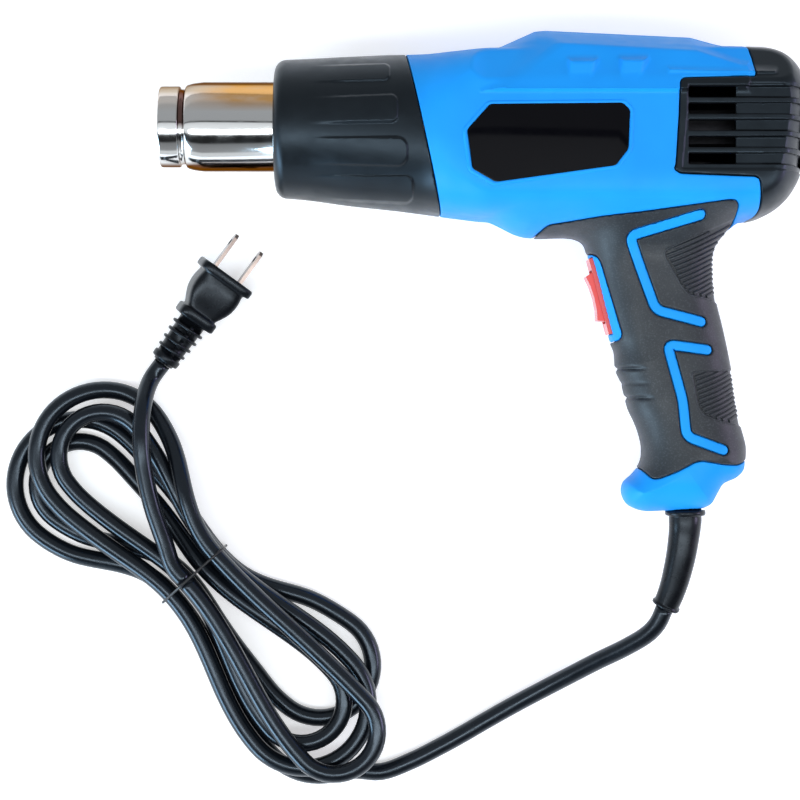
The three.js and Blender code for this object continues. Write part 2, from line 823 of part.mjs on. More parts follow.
// Resistance wire wound on the four fins, one step on each fin and one between
function coil(radius, front, length) {
  const rings = [];
  const steps = coilTurns * coilSteps;
  for (let i = 0; i <= steps; i += 1) {
    const angle = (2 * Math.PI * i) / coilSteps;
    const radial = new THREE.Vector3(0, Math.cos(angle), Math.sin(angle));
    const centre = radial.clone().multiplyScalar(radius);
    centre.x = front + (length * i) / steps;
    rings.push(oval(coilSides, coilWire, coilWire, 2, (a, b) => {
      return centre.clone().addScaledVector(radial, a).add(new THREE.Vector3(b, 0, 0));
    }));
  }
  return loft(rings);
}

function addDuctAndFan() {
  const ductFront = flangeX + flangeThick + gap;
  const outerRadius = ductInner + ductWall;
  const throat = nozzleRadius - nozzleWall;
  const profile = [
    [ductFront, throat],
    [ductFront, flangeRadius],
    [ductFront + ductFlangeThick, flangeRadius],
    [ductFront + ductFlangeThick, throat + ductWall + 0.5],
    [ductConeEnd, outerRadius],
    [ductEnd, outerRadius],
    [ductEnd, ductInner],
    [ductConeEnd, ductInner],
    [ductFront + ductFlangeThick, throat],
    [ductFront, throat],
  ];
  addTo(gun, 'air_duct', shape(solid(turned(profile, roundSides)).subtract(flangeHoles())), 'duct');
  const hub = solid(rod(fanHub, 0, fanDepth, 14));
  const tip = ductInner - fanTipGap;
  const blades = [];
  for (let i = 0; i < fanBlades; i += 1) {
    const blade = new THREE.BoxGeometry(fanDepth, tip - fanHub + 1, bladeThick);
    blade.rotateY(THREE.MathUtils.degToRad(bladePitch));
    blade.translate(fanDepth / 2, (tip + fanHub - 1) / 2, 0);
    blade.rotateX((2 * Math.PI * i) / fanBlades);
    blades.push(solid(blade));
  }
  const sweep = solid(pipe(tip, 1, 0, fanDepth, 42));
  const bore = solid(rod(shaftRadius + gap, -1, fanDepth + 1, 12));
  const fan = hub.add(joined(blades).intersect(sweep)).subtract(bore);
  addTo(gun, 'fan_impeller', shape(fan), 'duct').position.x = fanStart;
}

function addMotor() {
  const mountFront = ductEnd - 7.5;
  const canFront = mountFront + mountThick + gap;
  const canBack = canFront + motorLength;
  const ring = solid(pipe(ductInner - gap, ductInner - gap - mountRing, 0, mountThick, roundSides));
  const hub = solid(pipe(mountHub, mountHole, 0, mountThick, 16));
  const reach = ductInner - gap - mountRing / 2;
  const armGap = (mountHub + mountHole) / 2;
  const arms = [0, 1, 2, 3].map((i) => {
    const arm = block([0, armGap, -mountArm / 2], [mountThick, reach, mountArm / 2]);
    arm.rotateX((i * Math.PI) / 2);
    return solid(arm);
  });
  const mount = ring.add(hub).add(joined(arms));
  addTo(gun, 'motor_mount', shape(mount), 'duct').position.x = mountFront;
  const bushHole = bushRadius + gap;
  const canProfile = [
    [canFront, bushHole],
    [canFront, motorRadius],
    [canBack, motorRadius],
    [canBack, motorRadius - canWall],
    [canFront + canWall, motorRadius - canWall],
    [canFront + canWall, bushHole],
    [canFront, bushHole],
  ];
  addTo(gun, 'motor_can', turned(canProfile, roundSides), 'steel');
  const bellFront = canBack + gap;
  const bellBack = bellFront + bellThick;
  const bellProfile = [
    [bellFront, bushHole],
    [bellFront, motorRadius],
    [bellBack, motorRadius],
    [bellBack, bellHub],
    [bellBack + bellHubLength, bellHub],
    [bellBack + bellHubLength, bushHole],
    [bellFront, bushHole],
  ];
  addTo(gun, 'motor_end_bell', turned(bellProfile, roundSides), 'black');
  const boreRadius = shaftRadius + runGap;
  const frontBush = canFront - 1.4;
  const rearBush = bellFront + 1;
  const bush = (from) => pipe(bushRadius, boreRadius, from, from + bushLength, 12);
  addTo(gun, 'motor_bush_front', bush(frontBush), 'brass');
  addTo(gun, 'motor_bush_rear', bush(rearBush), 'brass');
  const shaftFront = fanStart + 1;
  addTo(gun, 'motor_shaft', rod(shaftRadius, shaftFront, bellBack + bellHubLength + 1, 12), 'steel');
  const armatureFront = canFront + armatureInset;
  const armatureBack = armatureFront + armatureLength;
  const hubBore = shaftRadius + gap;
  addTo(gun, 'motor_armature', pipe(armatureRadius, hubBore, armatureFront, armatureBack, 16), 'copper');
  const commutatorFront = armatureBack + 2;
  const commutatorBack = commutatorFront + commutatorLength;
  addTo(gun, 'commutator', pipe(commutatorRadius, hubBore, commutatorFront, commutatorBack, 12), 'brass');
  const magnetOuter = motorRadius - canWall - gap;
  const magnet = magnetArc(magnetOuter, magnetOuter - magnetThick, armatureFront, armatureBack);
  addTo(gun, 'magnet_upper', magnet, 'magnet');
  addTo(gun, 'magnet_lower', magnet, 'magnet').rotation.x = Math.PI;
  addBoard(bellBack + gap);
}

function magnetArc(outerRadius, innerRadius, from, to) {
  const half = THREE.MathUtils.degToRad(magnetSpan / 2);
  const steps = 8;
  const outline = [];
  for (let i = 0; i <= steps; i += 1) {
    const angle = -half + (2 * half * i) / steps;
    outline.push([outerRadius * Math.sin(angle), outerRadius * Math.cos(angle)]);
  }
  for (let i = steps; i >= 0; i -= 1) {
    const angle = -half + (2 * half * i) / steps;
    outline.push([innerRadius * Math.sin(angle), innerRadius * Math.cos(angle)]);
  }
  const geometry = prism(outline, 0, to - from);
  geometry.rotateY(Math.PI / 2);
  geometry.translate(from, 0, 0);
  return geometry;
}

function addBoard(front) {
  let board = solid(pipe(boardRadius, bellHub + gap, front, front + boardThick, 24));
  for (let i = 0; i < 4; i += 1) {
    const diode = new THREE.CylinderGeometry(diodeRadius, diodeRadius, diodeLength, 6);
    diode.translate(0, 0, 9.3);
    diode.rotateX((i * Math.PI) / 2 + Math.PI / 4);
    diode.translate(front + boardThick + diodeRadius - 0.3, 0, 0);
    board = board.add(solid(diode));
  }
  addTo(gun, 'rectifier_board', shape(board), 'board');
}

function addSwitch() {
  const assembly = new THREE.Group();
  assembly.position.set(switchX, switchY, 0);
  assembly.rotation.z = THREE.MathUtils.degToRad(switchTilt);
  gun.add(assembly);
  const windowHalf = rockerHalfLength + windowGap;
  const windowSide = rockerHalfWidth + gap;
  const frameBack = frameProud - frameThick;
  const plate = solid(block(
    [frameBack, -frameHalfLength, -frameHalfWidth],
    [frameProud, frameHalfLength, frameHalfWidth],
  ));
  const windowCut = solid(block([-far, -windowHalf, -windowSide], [far, windowHalf, windowSide]));
  addTo(assembly, 'switch_frame', shape(plate.subtract(windowCut)), 'red');
  const outline = [
    [0.1, rockerHalfLength],
    [rockerProud, rockerHalfLength - 1.2],
    [rockerDish + 0.35, rockerHalfLength / 2],
    [rockerDish, 0],
    [rockerDish + 0.35, -rockerHalfLength / 2],
    [rockerProud, 1.2 - rockerHalfLength],
    [0.1, -rockerHalfLength],
    [-3.5, -7.5],
    [-rockerDepth, -3],
    [-rockerDepth, 3],
    [-3.5, 7.5],
  ];
  addTo(assembly, 'switch_rocker', prism(outline, -rockerHalfWidth, rockerHalfWidth), 'red');
  const bodyTopX = frameBack - gap;
  const bodyBack = bodyTopX - switchBodyDepth + 3;
  const half = switchBodyLength / 2;
  const body = solid(block([bodyBack, -half, -frameHalfWidth], [bodyTopX, half, frameHalfWidth]));
  const pocketFloor = bodyTopX - pocketDepth;
  const pocket = solid(block([pocketFloor, -windowHalf, -windowSide], [far, windowHalf, windowSide]));
  addTo(assembly, 'switch_body', shape(body.subtract(pocket)), 'black');
  for (let i = 0; i < terminalCount; i += 1) {
    const tab = new THREE.BoxGeometry(terminalLength, terminalThick, terminalWidth);
    const mesh = addTo(assembly, `switch_terminal_${i + 1}`, tab, 'brass');
    mesh.position.set(bodyBack - gap - terminalLength / 2, (i - 1) * terminalPitch, 0);
  }
}

// Strain relief: flange inside the pommel, neck, shoulder ring and tapered tail
const sleeveTail = [
  [107.9, -166.1, -0.4, 6.4],
  [106.6, -175.6, -1.2, 6.1],
  [104.4, -186, -2.8, 5.7],
  [102.3, -192.7, -4, 5.4],
  [100.7, -196.6, -4.9, 5.2],
];

function addSleeve() {
  const flangeTop = pommelFloor + gap + sleeveFlangeThick;
  const ringTop = pommelEnd - gap;
  const ringEnd = ringTop - shoulderRingThick;
  const sections = [
    [flangeTop, sleeveFlange],
    [pommelFloor + gap, sleeveFlange],
    [pommelFloor + gap - 0.01, sleeveNeck],
    [ringTop + 0.01, sleeveNeck],
    [ringTop, shoulderRing],
    [ringEnd, shoulderRing],
    [ringEnd - 0.01, sleeveNeck],
  ].map(([y, r]) => [cordExitX, y, 0, r]);
  const stations = sections.concat(sleeveTail);
  const rings = stations.map(([x, y, z, r], i) => {
    const here = new THREE.Vector3(x, y, z);
    const before = new THREE.Vector3(...stations[Math.max(i - 1, 0)].slice(0, 3));
    const after = new THREE.Vector3(...stations[Math.min(i + 1, stations.length - 1)].slice(0, 3));
    const along = i < sections.length ? new THREE.Vector3(0, -1, 0) : after.sub(before).normalize();
    const side = new THREE.Vector3(0, 0, 1).cross(along).normalize();
    const up = along.clone().cross(side);
    return oval(16, r, r, 2, (a, b) => here.clone().addScaledVector(side, a).addScaledVector(up, b));
  });
  addTo(gun, 'cord_sleeve', loft(rings), 'gloss');
  const stubEnd = flangeTop + gap;
  const stub = new THREE.CylinderGeometry(cordRadius, cordRadius, stubLength, 12);
  addTo(gun, 'cord_stub', stub, 'cord').position.set(cordExitX, stubEnd + stubLength / 2, 0);
  const span = 2 * clampScrewOffset + clampWidth;
  let bar = solid(block([-span / 2, -clampWidth / 2, 0], [span / 2, clampWidth / 2, clampThick]));
  for (const side of [-1, 1]) {
    const hole = post(side * clampScrewOffset, 0, clampScrewShank + gap, -1, clampThick + 1, 10);
    bar = bar.subtract(solid(hole));
  }
  const barLow = cordRadius + gap;
  addTo(gun, 'cord_clamp', shape(bar), 'black').position.set(cordExitX, clampY, barLow);
  [-1, 1].forEach((side, i) => {
    const pin = screw(clampScrewShank, clampThick + clampScrewBite, clampScrewHead, clampScrewHeadThick);
    const mesh = addTo(gun, `clamp_screw_${i + 1}`, pin, 'steel');
    mesh.rotation.y = Math.PI / 2;
    mesh.position.set(cordExitX + side * clampScrewOffset, clampY, barLow + clampThick + gap);
  });
  addWires(stubEnd + stubLength + gap);
}

function tube(points, radius, sides, steps) {
  const stops = points.map((point) => new THREE.Vector3(...point));
  const path = new THREE.CatmullRomCurve3(stops, false, 'centripetal');
  const section = new THREE.Shape();
  for (let k = 0; k < sides; k += 1) {
    const angle = (2 * Math.PI * (k + 0.5)) / sides;
    const x = radius * Math.cos(angle);
    const y = radius * Math.sin(angle);
    if (k === 0) {
      section.moveTo(x, y);
    } else {
      section.lineTo(x, y);
    }
  }
  section.closePath();
  return new THREE.ExtrudeGeometry(section, { steps, extrudePath: path, bevelEnabled: false });
}

function addWires(start) {
  const live = [
    [cordExitX, start, 1.8],
    [cordExitX, start + 4, 1.8],
    [110, -110, 2],
    [111, -90, 2],
    [110, -76, 1],
    [106.3, -70.3, 0],
    [104.4, -69.8, 0],
  ];
  const neutral = [
    [cordExitX, start, -1.8],
    [cordExitX, start + 4, -1.8],
    [112, -100, -3],
    [112, -70, -3],
    [109, -50, -3],
    [110, -38, -3],
    [118, -29, -3],
    [128, -25, -3],
    [133.8, -20, -3],
    [133.8, -12.5, -3],
  ];
  addTo(gun, 'wire_live', tube(live, wireRadius, 5, 14), 'red');
  addTo(gun, 'wire_neutral', tube(neutral, wireRadius, 5, 22), 'black');
}

function ramp(value, from, to) {
  const share = Math.min(Math.max((value - from) / (to - from), 0), 1);
  return share * share * (3 - 2 * share);
}

// Hank in its own frame: u along its length, v across, both from the tie
function hankBase(turn) {
  const fold = Math.min(Math.floor(2 * turn + 0.5), hankFolds.length - 1);
  const [reach, radius, lean] = hankFolds[fold];
  const way = fold % 2 === 0 ? 1 : -1;
  const past = turn - fold / 2;
  let u = 0;
  let v = 0;
  if (Math.abs(past) <= 0.125) {
    const bend = (past / 0.25) * Math.PI;
    u = way * (reach + radius * Math.cos(bend));
    v = -way * radius * Math.sin(bend);
  } else {
    const share = (0.25 - Math.abs(past)) / 0.125;
    const side = -way * Math.sign(past) * radius;
    const pass = hankPasses[past > 0 ? fold : fold - 1];
    u = way * reach * share;
    v = pass + (side - pass) * (1 - Math.cos(Math.PI * share)) / 2;
  }
  const near = Math.min(Math.abs(u) / hankLeanReach, 1);
  const tilt = THREE.MathUtils.degToRad(lean) * (1 - Math.cos(Math.PI * near)) / 2;
  return new THREE.Vector2(u, v).rotateAround(new THREE.Vector2(), tilt);
}

function hankPoint(turn) {
  const at = hankBase(turn);
  const layers = hankClimbs.reduce((sum, [from, to]) => sum + ramp(turn, from, to), 0);
  const dip = hankDipDepth * Math.exp(-(((turn - hankDipTurn) / hankDipSpread) ** 2));
  const z = cordRadius + layers * hankLayer + hankLift * Math.exp(-((at.x / 14) ** 2)) - dip;
  at.rotateAround(new THREE.Vector2(), THREE.MathUtils.degToRad(hankAngle));
  return new THREE.Vector3(hankTieX + at.x, hankTieY + at.y, z);
}

function hankPath() {
  const points = [];
  for (let i = hankFirstStep; i <= hankLastStep; i += 1) {
    points.push(hankPoint(i / hankSteps));
  }
  return points;
}

function tubeThrough(points, radius, sides) {
  const rings = points.map((here, i) => {
    const before = points[Math.max(i - 1, 0)];
    const after = points[Math.min(i + 1, points.length - 1)];
    const along = after.clone().sub(before).normalize();
    const side = new THREE.Vector3(0, 0, 1).cross(along).normalize();
    const up = along.clone().cross(side);
    const place = (a, b) => here.clone().addScaledVector(side, a).addScaledVector(up, b);
    return oval(sides, radius, radius, 2, place);
  });
  return loft(rings);
}

// Least distance between passes of a path more than a quarter turn apart, less the cord's thickness
function leastGap(points) {
  const apart = Math.round(hankSteps / 4);
  const line = new THREE.Line3();
  const near = new THREE.Vector3();
  let least = Infinity;
  points.forEach((point, i) => {
    for (let k = i + apart; k + 1 < points.length; k += 1) {
      line.set(points[k], points[k + 1]);
      line.closestPointToPoint(point, true, near);
      least = Math.min(least, near.distanceTo(point));
    }
    for (let k = 0; k + 1 < i - apart; k += 1) {
      line.set(points[k], points[k + 1]);
      line.closestPointToPoint(point, true, near);
      least = Math.min(least, near.distanceTo(point));
    }
  });
  return least - 2 * cordRadius;
}

function addCord() {
  const end = sleeveTail[sleeveTail.length - 1];
  const height = flankHalf + lipRise;
  const last = new THREE.Vector3(end[0], end[1], end[2] + height);
  const earlier = sleeveTail[sleeveTail.length - 2];
  const leave = last.clone().sub(new THREE.Vector3(earlier[0], earlier[1], earlier[2] + height)).normalize();
  const hank = hankPath();
  const arrive = hank[1].clone().sub(hank[0]).normalize();
  const away = hank[hank.length - 1].clone().sub(hank[hank.length - 2]).normalize();
  const first = last.clone().addScaledVector(leave, gap);
  const lead = [
    first.toArray(),
    first.clone().addScaledVector(leave, 2 * cordRadius).toArray(),
    [93.9, -208.4, 29.4],
    [85.4, -214.4, 24.8],
    [74.5, -220.7, 18.8],
    [63.1, -227.6, 12.8],
    [51.8, -234.3, 8],
    [39.6, -241.3, 5],
    [27.2, -248.5, 3.9],
    [17.8, -254, cordRadius],
    [8.5, -259.1, cordRadius],
    [-3.9, -265.3, cordRadius],
    [-16.4, -269.8, cordRadius],
    hank[0].clone().addScaledVector(arrive, -gap - 2.5 * cordRadius).toArray(),
    hank[0].clone().addScaledVector(arrive, -gap).toArray(),
  ];
  addTo(cordGroup, 'cord_lead', tube(lead, cordRadius, cordSides, 22), 'cord');
  addTo(cordGroup, 'cord_hank', tubeThrough(hank, cordRadius, hankSides), 'cord');
  console.log(`cord_hank least gap to itself: ${leastGap(hank).toFixed(2)} mm`);
  const plug = new THREE.Vector3(plugX, plugY, plugZ);
  const plugAxis = new THREE.Vector3(Math.cos(plugTurn()), Math.sin(plugTurn()), 0);
  const relief = plug.clone().addScaledVector(plugAxis, -plugLength() - gap);
  const leaveHank = hank[hank.length - 1].clone().addScaledVector(away, gap);
  const tail = [
    leaveHank.toArray(),
    leaveHank.clone().addScaledVector(away, 2 * cordRadius).toArray(),
    [-106.9, -171, 20.3],
    [-112.2, -155.5, 20.4],
    [-115.7, -139, 20.5],
    [-116.6, -127, 20.8],
    [-116.3, -115.5, 18],
    [-115.2, -107.5, 12.8],
    relief.clone().addScaledVector(plugAxis, -2 * cordRadius).toArray(),
    relief.toArray(),
  ];
  addTo(cordGroup, 'cord_tail', tube(tail, cordRadius, cordSides, 22), 'cord');
  addTie();
  addPlug();
}

// Thin tie drawn tight round the strands at the waist
function addTie() {
  const angle = THREE.MathUtils.degToRad(hankAngle);
  const passes = [];
  for (let turn = 0.25; turn <= hankLastStep / hankSteps; turn += 0.5) {
    passes.push(hankPoint(turn));
  }
  const along = new THREE.Vector3(Math.cos(angle), Math.sin(angle), 0);
  const across = new THREE.Vector3(-Math.sin(angle), Math.cos(angle), 0);
  const reach = cordRadius + tieRadius + gap;
  const rings = [];
  for (let i = 0; i < tieSteps; i += 1) {
    const turn = (2 * Math.PI * i) / tieSteps;
    const away = across.clone().multiplyScalar(Math.cos(turn)).add(new THREE.Vector3(0, 0, Math.sin(turn)));
    const outermost = passes.reduce((best, pass) => (pass.dot(away) > best.dot(away) ? pass : best));
    const centre = outermost.clone().addScaledVector(away, reach);
    centre.addScaledVector(along, -centre.clone().sub(tieCentre()).dot(along));
    rings.push(oval(8, tieRadius, tieRadius, 2, (a, b) => {
      return centre.clone().addScaledVector(away, a).addScaledVector(along, b);
    }));
  }
  addTo(cordGroup, 'cord_tie', loft(rings, true), 'gloss');
}

function tieCentre() {
  return new THREE.Vector3(hankTieX, hankTieY, 0);
}

function plugTurn() {
  return THREE.MathUtils.degToRad(plugAngle);
}

const ribStart = -28.5;

function plugLength() {
  return -ribStart + (ribCount - 1) * ribPitch + ribWidth / 2 + 0.6;
}

function addPlug() {
  const turn = new THREE.Group();
  turn.position.set(plugX, plugY, plugZ);
  turn.rotation.z = plugTurn();
  const roll = new THREE.Group();
  roll.rotation.x = THREE.MathUtils.degToRad(plugRoll);
  turn.add(roll);
  cordGroup.add(turn);
  const sections = [
    [0, 13.4, 7.6, 3],
    [-0.6, 13.75, 8, 3],
    [-3.4, 13.75, 8, 3],
    [-4, 11.8, 7.2, 3],
    [-9, 11.2, 7.2, 3],
    [-14, 10, 6.9, 3],
    [-20.4, 8.4, 6.5, 3],
    [-20.8, 10.1, 7.4, 3],
    [-25.4, 10, 7.2, 3],
    [-26, ribCore, ribCore, 2],
  ];
  for (let i = 0; i < ribCount; i += 1) {
    const centre = ribStart - i * ribPitch;
    const radius = ribFirst + ((ribLast - ribFirst) * i) / (ribCount - 1);
    sections.push([centre + ribWidth / 2, ribCore, ribCore, 2]);
    sections.push([centre + ribWidth / 4, radius, radius, 2]);
    sections.push([centre - ribWidth / 4, radius, radius, 2]);
    sections.push([centre - ribWidth / 2, ribCore, ribCore, 2]);
  }
  sections.push([-plugLength(), ribCore, ribCore, 2]);
  const rings = sections.map(([x, halfY, halfZ, power]) => {
    return oval(12, halfY, halfZ, power, (a, b) => new THREE.Vector3(x, a, b));
  });
  let body = solid(loft(rings));
  for (const side of [-1, 1]) {
    const y = (side * bladeSpacing) / 2;
    const slot = block(
      [-bladeRoot, y - pinThick / 2 - gap, -bladeWidth / 2 - gap],
      [1, y + pinThick / 2 + gap, bladeWidth / 2 + gap],
    );
    body = body.subtract(solid(slot));
  }
  addTo(roll, 'plug_body', shape(body), 'cord');
  const root = -bladeRoot + gap;
  const half = bladeWidth / 2;
  const outline = [
    [root, -half], [bladeLength - 1.6, -half], [bladeLength, -half + 1.8],
    [bladeLength, half - 1.8], [bladeLength - 1.6, half], [root, half],
  ];
  const blade = solid(prism(outline, -pinThick / 2, pinThick / 2));
  const pin = blade.subtract(solid(post(bladeLength - 4.2, 0, bladeHole, -5, 5, 12)));
  [-1, 1].forEach((side, i) => {
    const mesh = addTo(roll, `plug_blade_${i + 1}`, shape(pin), 'chrome');
    mesh.rotation.x = Math.PI / 2;
    mesh.position.y = (side * bladeSpacing) / 2;
  });
}

addHousing();
addShroudAndCap();
addLabels();
addGrips();
addNozzle();
addHeater();
addDuctAndFan();
addMotor();
addSwitch();
addSleeve();
addCord();

// The gun lies on its right label lip, with the middle of its own box over the origin.
gun.updateMatrixWorld(true);
const box = new THREE.Box3().setFromObject(gun, true);
gun.position.set(-(box.min.x + box.max.x) / 2, -(box.min.y + box.max.y) / 2, flankHalf + lipRise);
cordGroup.position.set(gun.position.x, gun.position.y, 0);

export default group;
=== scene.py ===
"""A corded hot air tool lying on its right flank, with its power cord wound into a tied hank.

The gun is drawn in millimetres round its barrel axis: x runs back from the seam between the nose
shroud and the housing, y up the side view and z out of the left flank. Cords use the same x and y,
with z measured from the floor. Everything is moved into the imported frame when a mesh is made.
"""

import logging
import math
from dataclasses import dataclass, field
from enum import Enum
from functools import partial
from typing import Callable, Sequence

import bmesh
import bpy
import numpy as np
import openvdb
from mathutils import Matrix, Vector


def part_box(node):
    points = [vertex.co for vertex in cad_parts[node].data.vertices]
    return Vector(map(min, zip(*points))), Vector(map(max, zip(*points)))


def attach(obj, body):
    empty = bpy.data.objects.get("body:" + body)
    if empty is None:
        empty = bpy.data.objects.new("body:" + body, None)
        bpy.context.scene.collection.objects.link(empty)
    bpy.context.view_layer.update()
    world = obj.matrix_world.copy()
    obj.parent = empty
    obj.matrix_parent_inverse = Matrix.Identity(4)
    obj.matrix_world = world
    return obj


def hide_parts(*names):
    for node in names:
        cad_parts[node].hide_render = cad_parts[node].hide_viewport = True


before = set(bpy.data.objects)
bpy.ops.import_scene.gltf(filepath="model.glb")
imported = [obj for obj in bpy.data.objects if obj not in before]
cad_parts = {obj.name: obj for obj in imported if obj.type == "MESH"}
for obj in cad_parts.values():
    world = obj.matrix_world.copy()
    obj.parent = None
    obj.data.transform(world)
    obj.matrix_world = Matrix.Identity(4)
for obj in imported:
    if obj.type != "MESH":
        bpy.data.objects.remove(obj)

LOG = logging.getLogger("hot_air_tool")
MM = 0.001
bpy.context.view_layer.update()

Points = np.ndarray
Field = Callable[[Points], np.ndarray]
Pair = tuple[float, float]


# Placing

NOZZLE_MOUTH = -107.1


class Datum(Enum):
    """Where a drawing's heights are measured from."""

    GUN = "the mid-plane of the gun"
    FLOOR = "the floor"


def frame_shift(datum: Datum) -> np.ndarray:
    """Finds what is added to a drawing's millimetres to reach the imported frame.

    Args:
        datum: Where the drawing's heights are measured from.

    Returns:
        Three numbers in millimetres.
    """
    low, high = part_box("nozzle_tube")
    middle = (low + high) / 2 / MM
    height = middle.z if datum is Datum.GUN else 0.0
    return np.array([low.x / MM - NOZZLE_MOUTH, middle.y, height])


def placed(points: Points, datum: Datum = Datum.GUN) -> Points:
    """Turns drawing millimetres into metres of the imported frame."""
    return (np.asarray(points, float) + frame_shift(datum)) * MM


def linked(name: str, data: bpy.types.ID) -> bpy.types.Object:
    """Makes an object of a mesh, a camera or a lamp and links it to the scene."""
    made = bpy.data.objects.new(name, data)
    bpy.context.scene.collection.objects.link(made)
    return made


def plain_object(name: str, points: Sequence, edges: Sequence = (),
                 faces: Sequence = ()) -> bpy.types.Object:
    """Makes an object from corners in metres, as they are given."""
    mesh = bpy.data.meshes.new(name)
    mesh.from_pydata(points, edges, faces)
    return linked(name, mesh)


def mesh_object(name: str, points: Points, faces: Sequence, datum: Datum = Datum.GUN,
                normals: Points | None = None) -> bpy.types.Object:
    """Makes a smooth-shaded object from points and faces.

    Args:
        name: The piece's name.
        points: Corners in the drawing's millimetres.
        faces: Faces as an array of rows of corner numbers, or a list of lists.
        datum: Where the heights are measured from.
        normals: A normal for each point, for surfaces given by a formula.

    Returns:
        The new object, linked to the scene.
    """
    mesh = bpy.data.meshes.new(name)
    rows = faces if isinstance(faces, np.ndarray) else [np.asarray(face) for face in faces]
    spots = placed(points, datum)
    loops, sizes = np.concatenate(rows), np.array([len(row) for row in rows])
    mesh.vertices.add(len(spots))
    mesh.vertices.foreach_set("co", spots.astype(np.float32).ravel())
    mesh.loops.add(len(loops))
    mesh.loops.foreach_set("vertex_index", loops.astype(np.int32))
    mesh.polygons.add(len(sizes))
    mesh.polygons.foreach_set("loop_start", (np.cumsum(sizes) - sizes).astype(np.int32))
    mesh.polygons.foreach_set("use_smooth", np.ones(len(sizes), bool))
    mesh.update(calc_edges=True)
    mesh.validate()
    if normals is not None:
        mesh.normals_split_custom_set_from_vertices(normals.astype(np.float32))
    return linked(name, mesh)


# Lines and outlines

def unit(rows: np.ndarray) -> np.ndarray:
    """Brings one vector, or each row of several, to a length of 1."""
    return rows / np.linalg.norm(rows, axis=-1, keepdims=True)


def through(points: Sequence, per: int = 8, closed: bool = False) -> np.ndarray:
    """Runs a smooth centripetal curve through points.

    Args:
        points: The stops of the curve.
        per: Steps between two stops.
        closed: Whether the curve returns to its start.

    Returns:
        The points of the curve, one row each.
    """
    stops = np.asarray(points, float)
    if closed:
        stops = np.vstack([stops[-1], stops, stops[0], stops[1]])
    else:
        stops = np.vstack([2 * stops[0] - stops[1], stops, 2 * stops[-1] - stops[-2]])
    out = []
    for p0, p1, p2, p3 in zip(stops, stops[1:], stops[2:], stops[3:]):
        knots = np.cumsum([0.0] + [max(np.linalg.norm(b - a), 1e-9) ** 0.5
                                   for a, b in ((p0, p1), (p1, p2), (p2, p3))])
        for t in np.linspace(knots[1], knots[2], per, endpoint=False):
            a1, a2, a3 = (((k1 - t) * a + (t - k0) * b) / (k1 - k0)
                          for a, b, k0, k1 in ((p0, p1, knots[0], knots[1]),
                                               (p1, p2, knots[1], knots[2]),
                                               (p2, p3, knots[2], knots[3])))
            b1 = ((knots[2] - t) * a1 + (t - knots[0]) * a2) / (knots[2] - knots[0])
            b2 = ((knots[3] - t) * a2 + (t - knots[1]) * a3) / (knots[3] - knots[1])
            out.append(((knots[2] - t) * b1 + (t - knots[1]) * b2) / (knots[2] - knots[1]))
    if not closed:
        out.append(stops[-2])
    return np.array(out)


def bend(before: np.ndarray, here: np.ndarray, after: np.ndarray, radius: float, share: float,
         steps: int) -> list:
    """Rounds one corner of a line.

    Args:
        before: The point before the corner.
        here: The corner.
        after: The point after it.
        radius: Radius of the arc.
        share: The most of either edge that the arc may take.
        steps: Points on the arc.

    Returns:
        The arc's points.
    """
    one, two = before - here, after - here
    reach = min(radius, share * np.linalg.norm(one), share * np.linalg.norm(two))
    start, end = here + unit(one) * reach, here + unit(two) * reach
    return [(1 - t) ** 2 * start + 2 * t * (1 - t) * here + t ** 2 * end for t in np.linspace(0, 1, steps)]


def filleted(corners: Sequence, radius: float) -> np.ndarray:
    """Rounds the corners of a closed outline with arcs, cut down where an edge is short."""
    spots = np.asarray(corners, float)
    return np.vstack([bend(*three, radius, 0.48, 6)
                      for three in zip(np.roll(spots, 1, 0), spots, np.roll(spots, -1, 0))])


def strip(line: Sequence, width: float, radius: float = 3.0) -> np.ndarray:
    """Outlines a strip of even width along a line, with rounded bends and round ends."""
    spine = rounded_line(line, radius)
    along = unit(np.gradient(spine, axis=0))
    side = np.stack([-along[:, 1], along[:, 0]], 1) * width / 2
    turns = np.linspace(-math.pi / 2, math.pi / 2, 9)[1:-1]
    ends = []
    for centre, way in ((spine[-1], along[-1]), (spine[0], -along[0])):
        across = np.array([-way[1], way[0]])
        ends.append([centre + width / 2 * (math.cos(t) * way - math.sin(t) * across) for t in turns])
    return np.vstack([spine + side, ends[0], (spine - side)[::-1], ends[1]])


def rounded_line(line: Sequence, radius: float, step: float = 0.8) -> np.ndarray:
    """Rounds the bends of an open line and spaces its points evenly."""
    spots = np.asarray(line, float)
    arcs = [bend(*three, radius, 0.45, 7) for three in zip(spots, spots[1:], spots[2:])]
    return spaced(np.vstack([spots[:1], *arcs, spots[-1:]]), step, 2, math.floor)


def spaced(path: Points, step: float, least: int = 4, whole: Callable = round) -> Points:
    """Spaces a path's points evenly.

    Args:
        path: The path, one row a point.
        step: About how far apart the new points are.
        least: The fewest steps.
        whole: How the number of steps is rounded.

    Returns:
        The new points.
    """
    run = np.concatenate([[0], np.cumsum(np.linalg.norm(np.diff(path, axis=0), axis=1))])
    even = np.linspace(0, run[-1], max(int(whole(run[-1] / step)), least) + 1)
    return np.stack([np.interp(even, run, column) for column in path.T], 1)


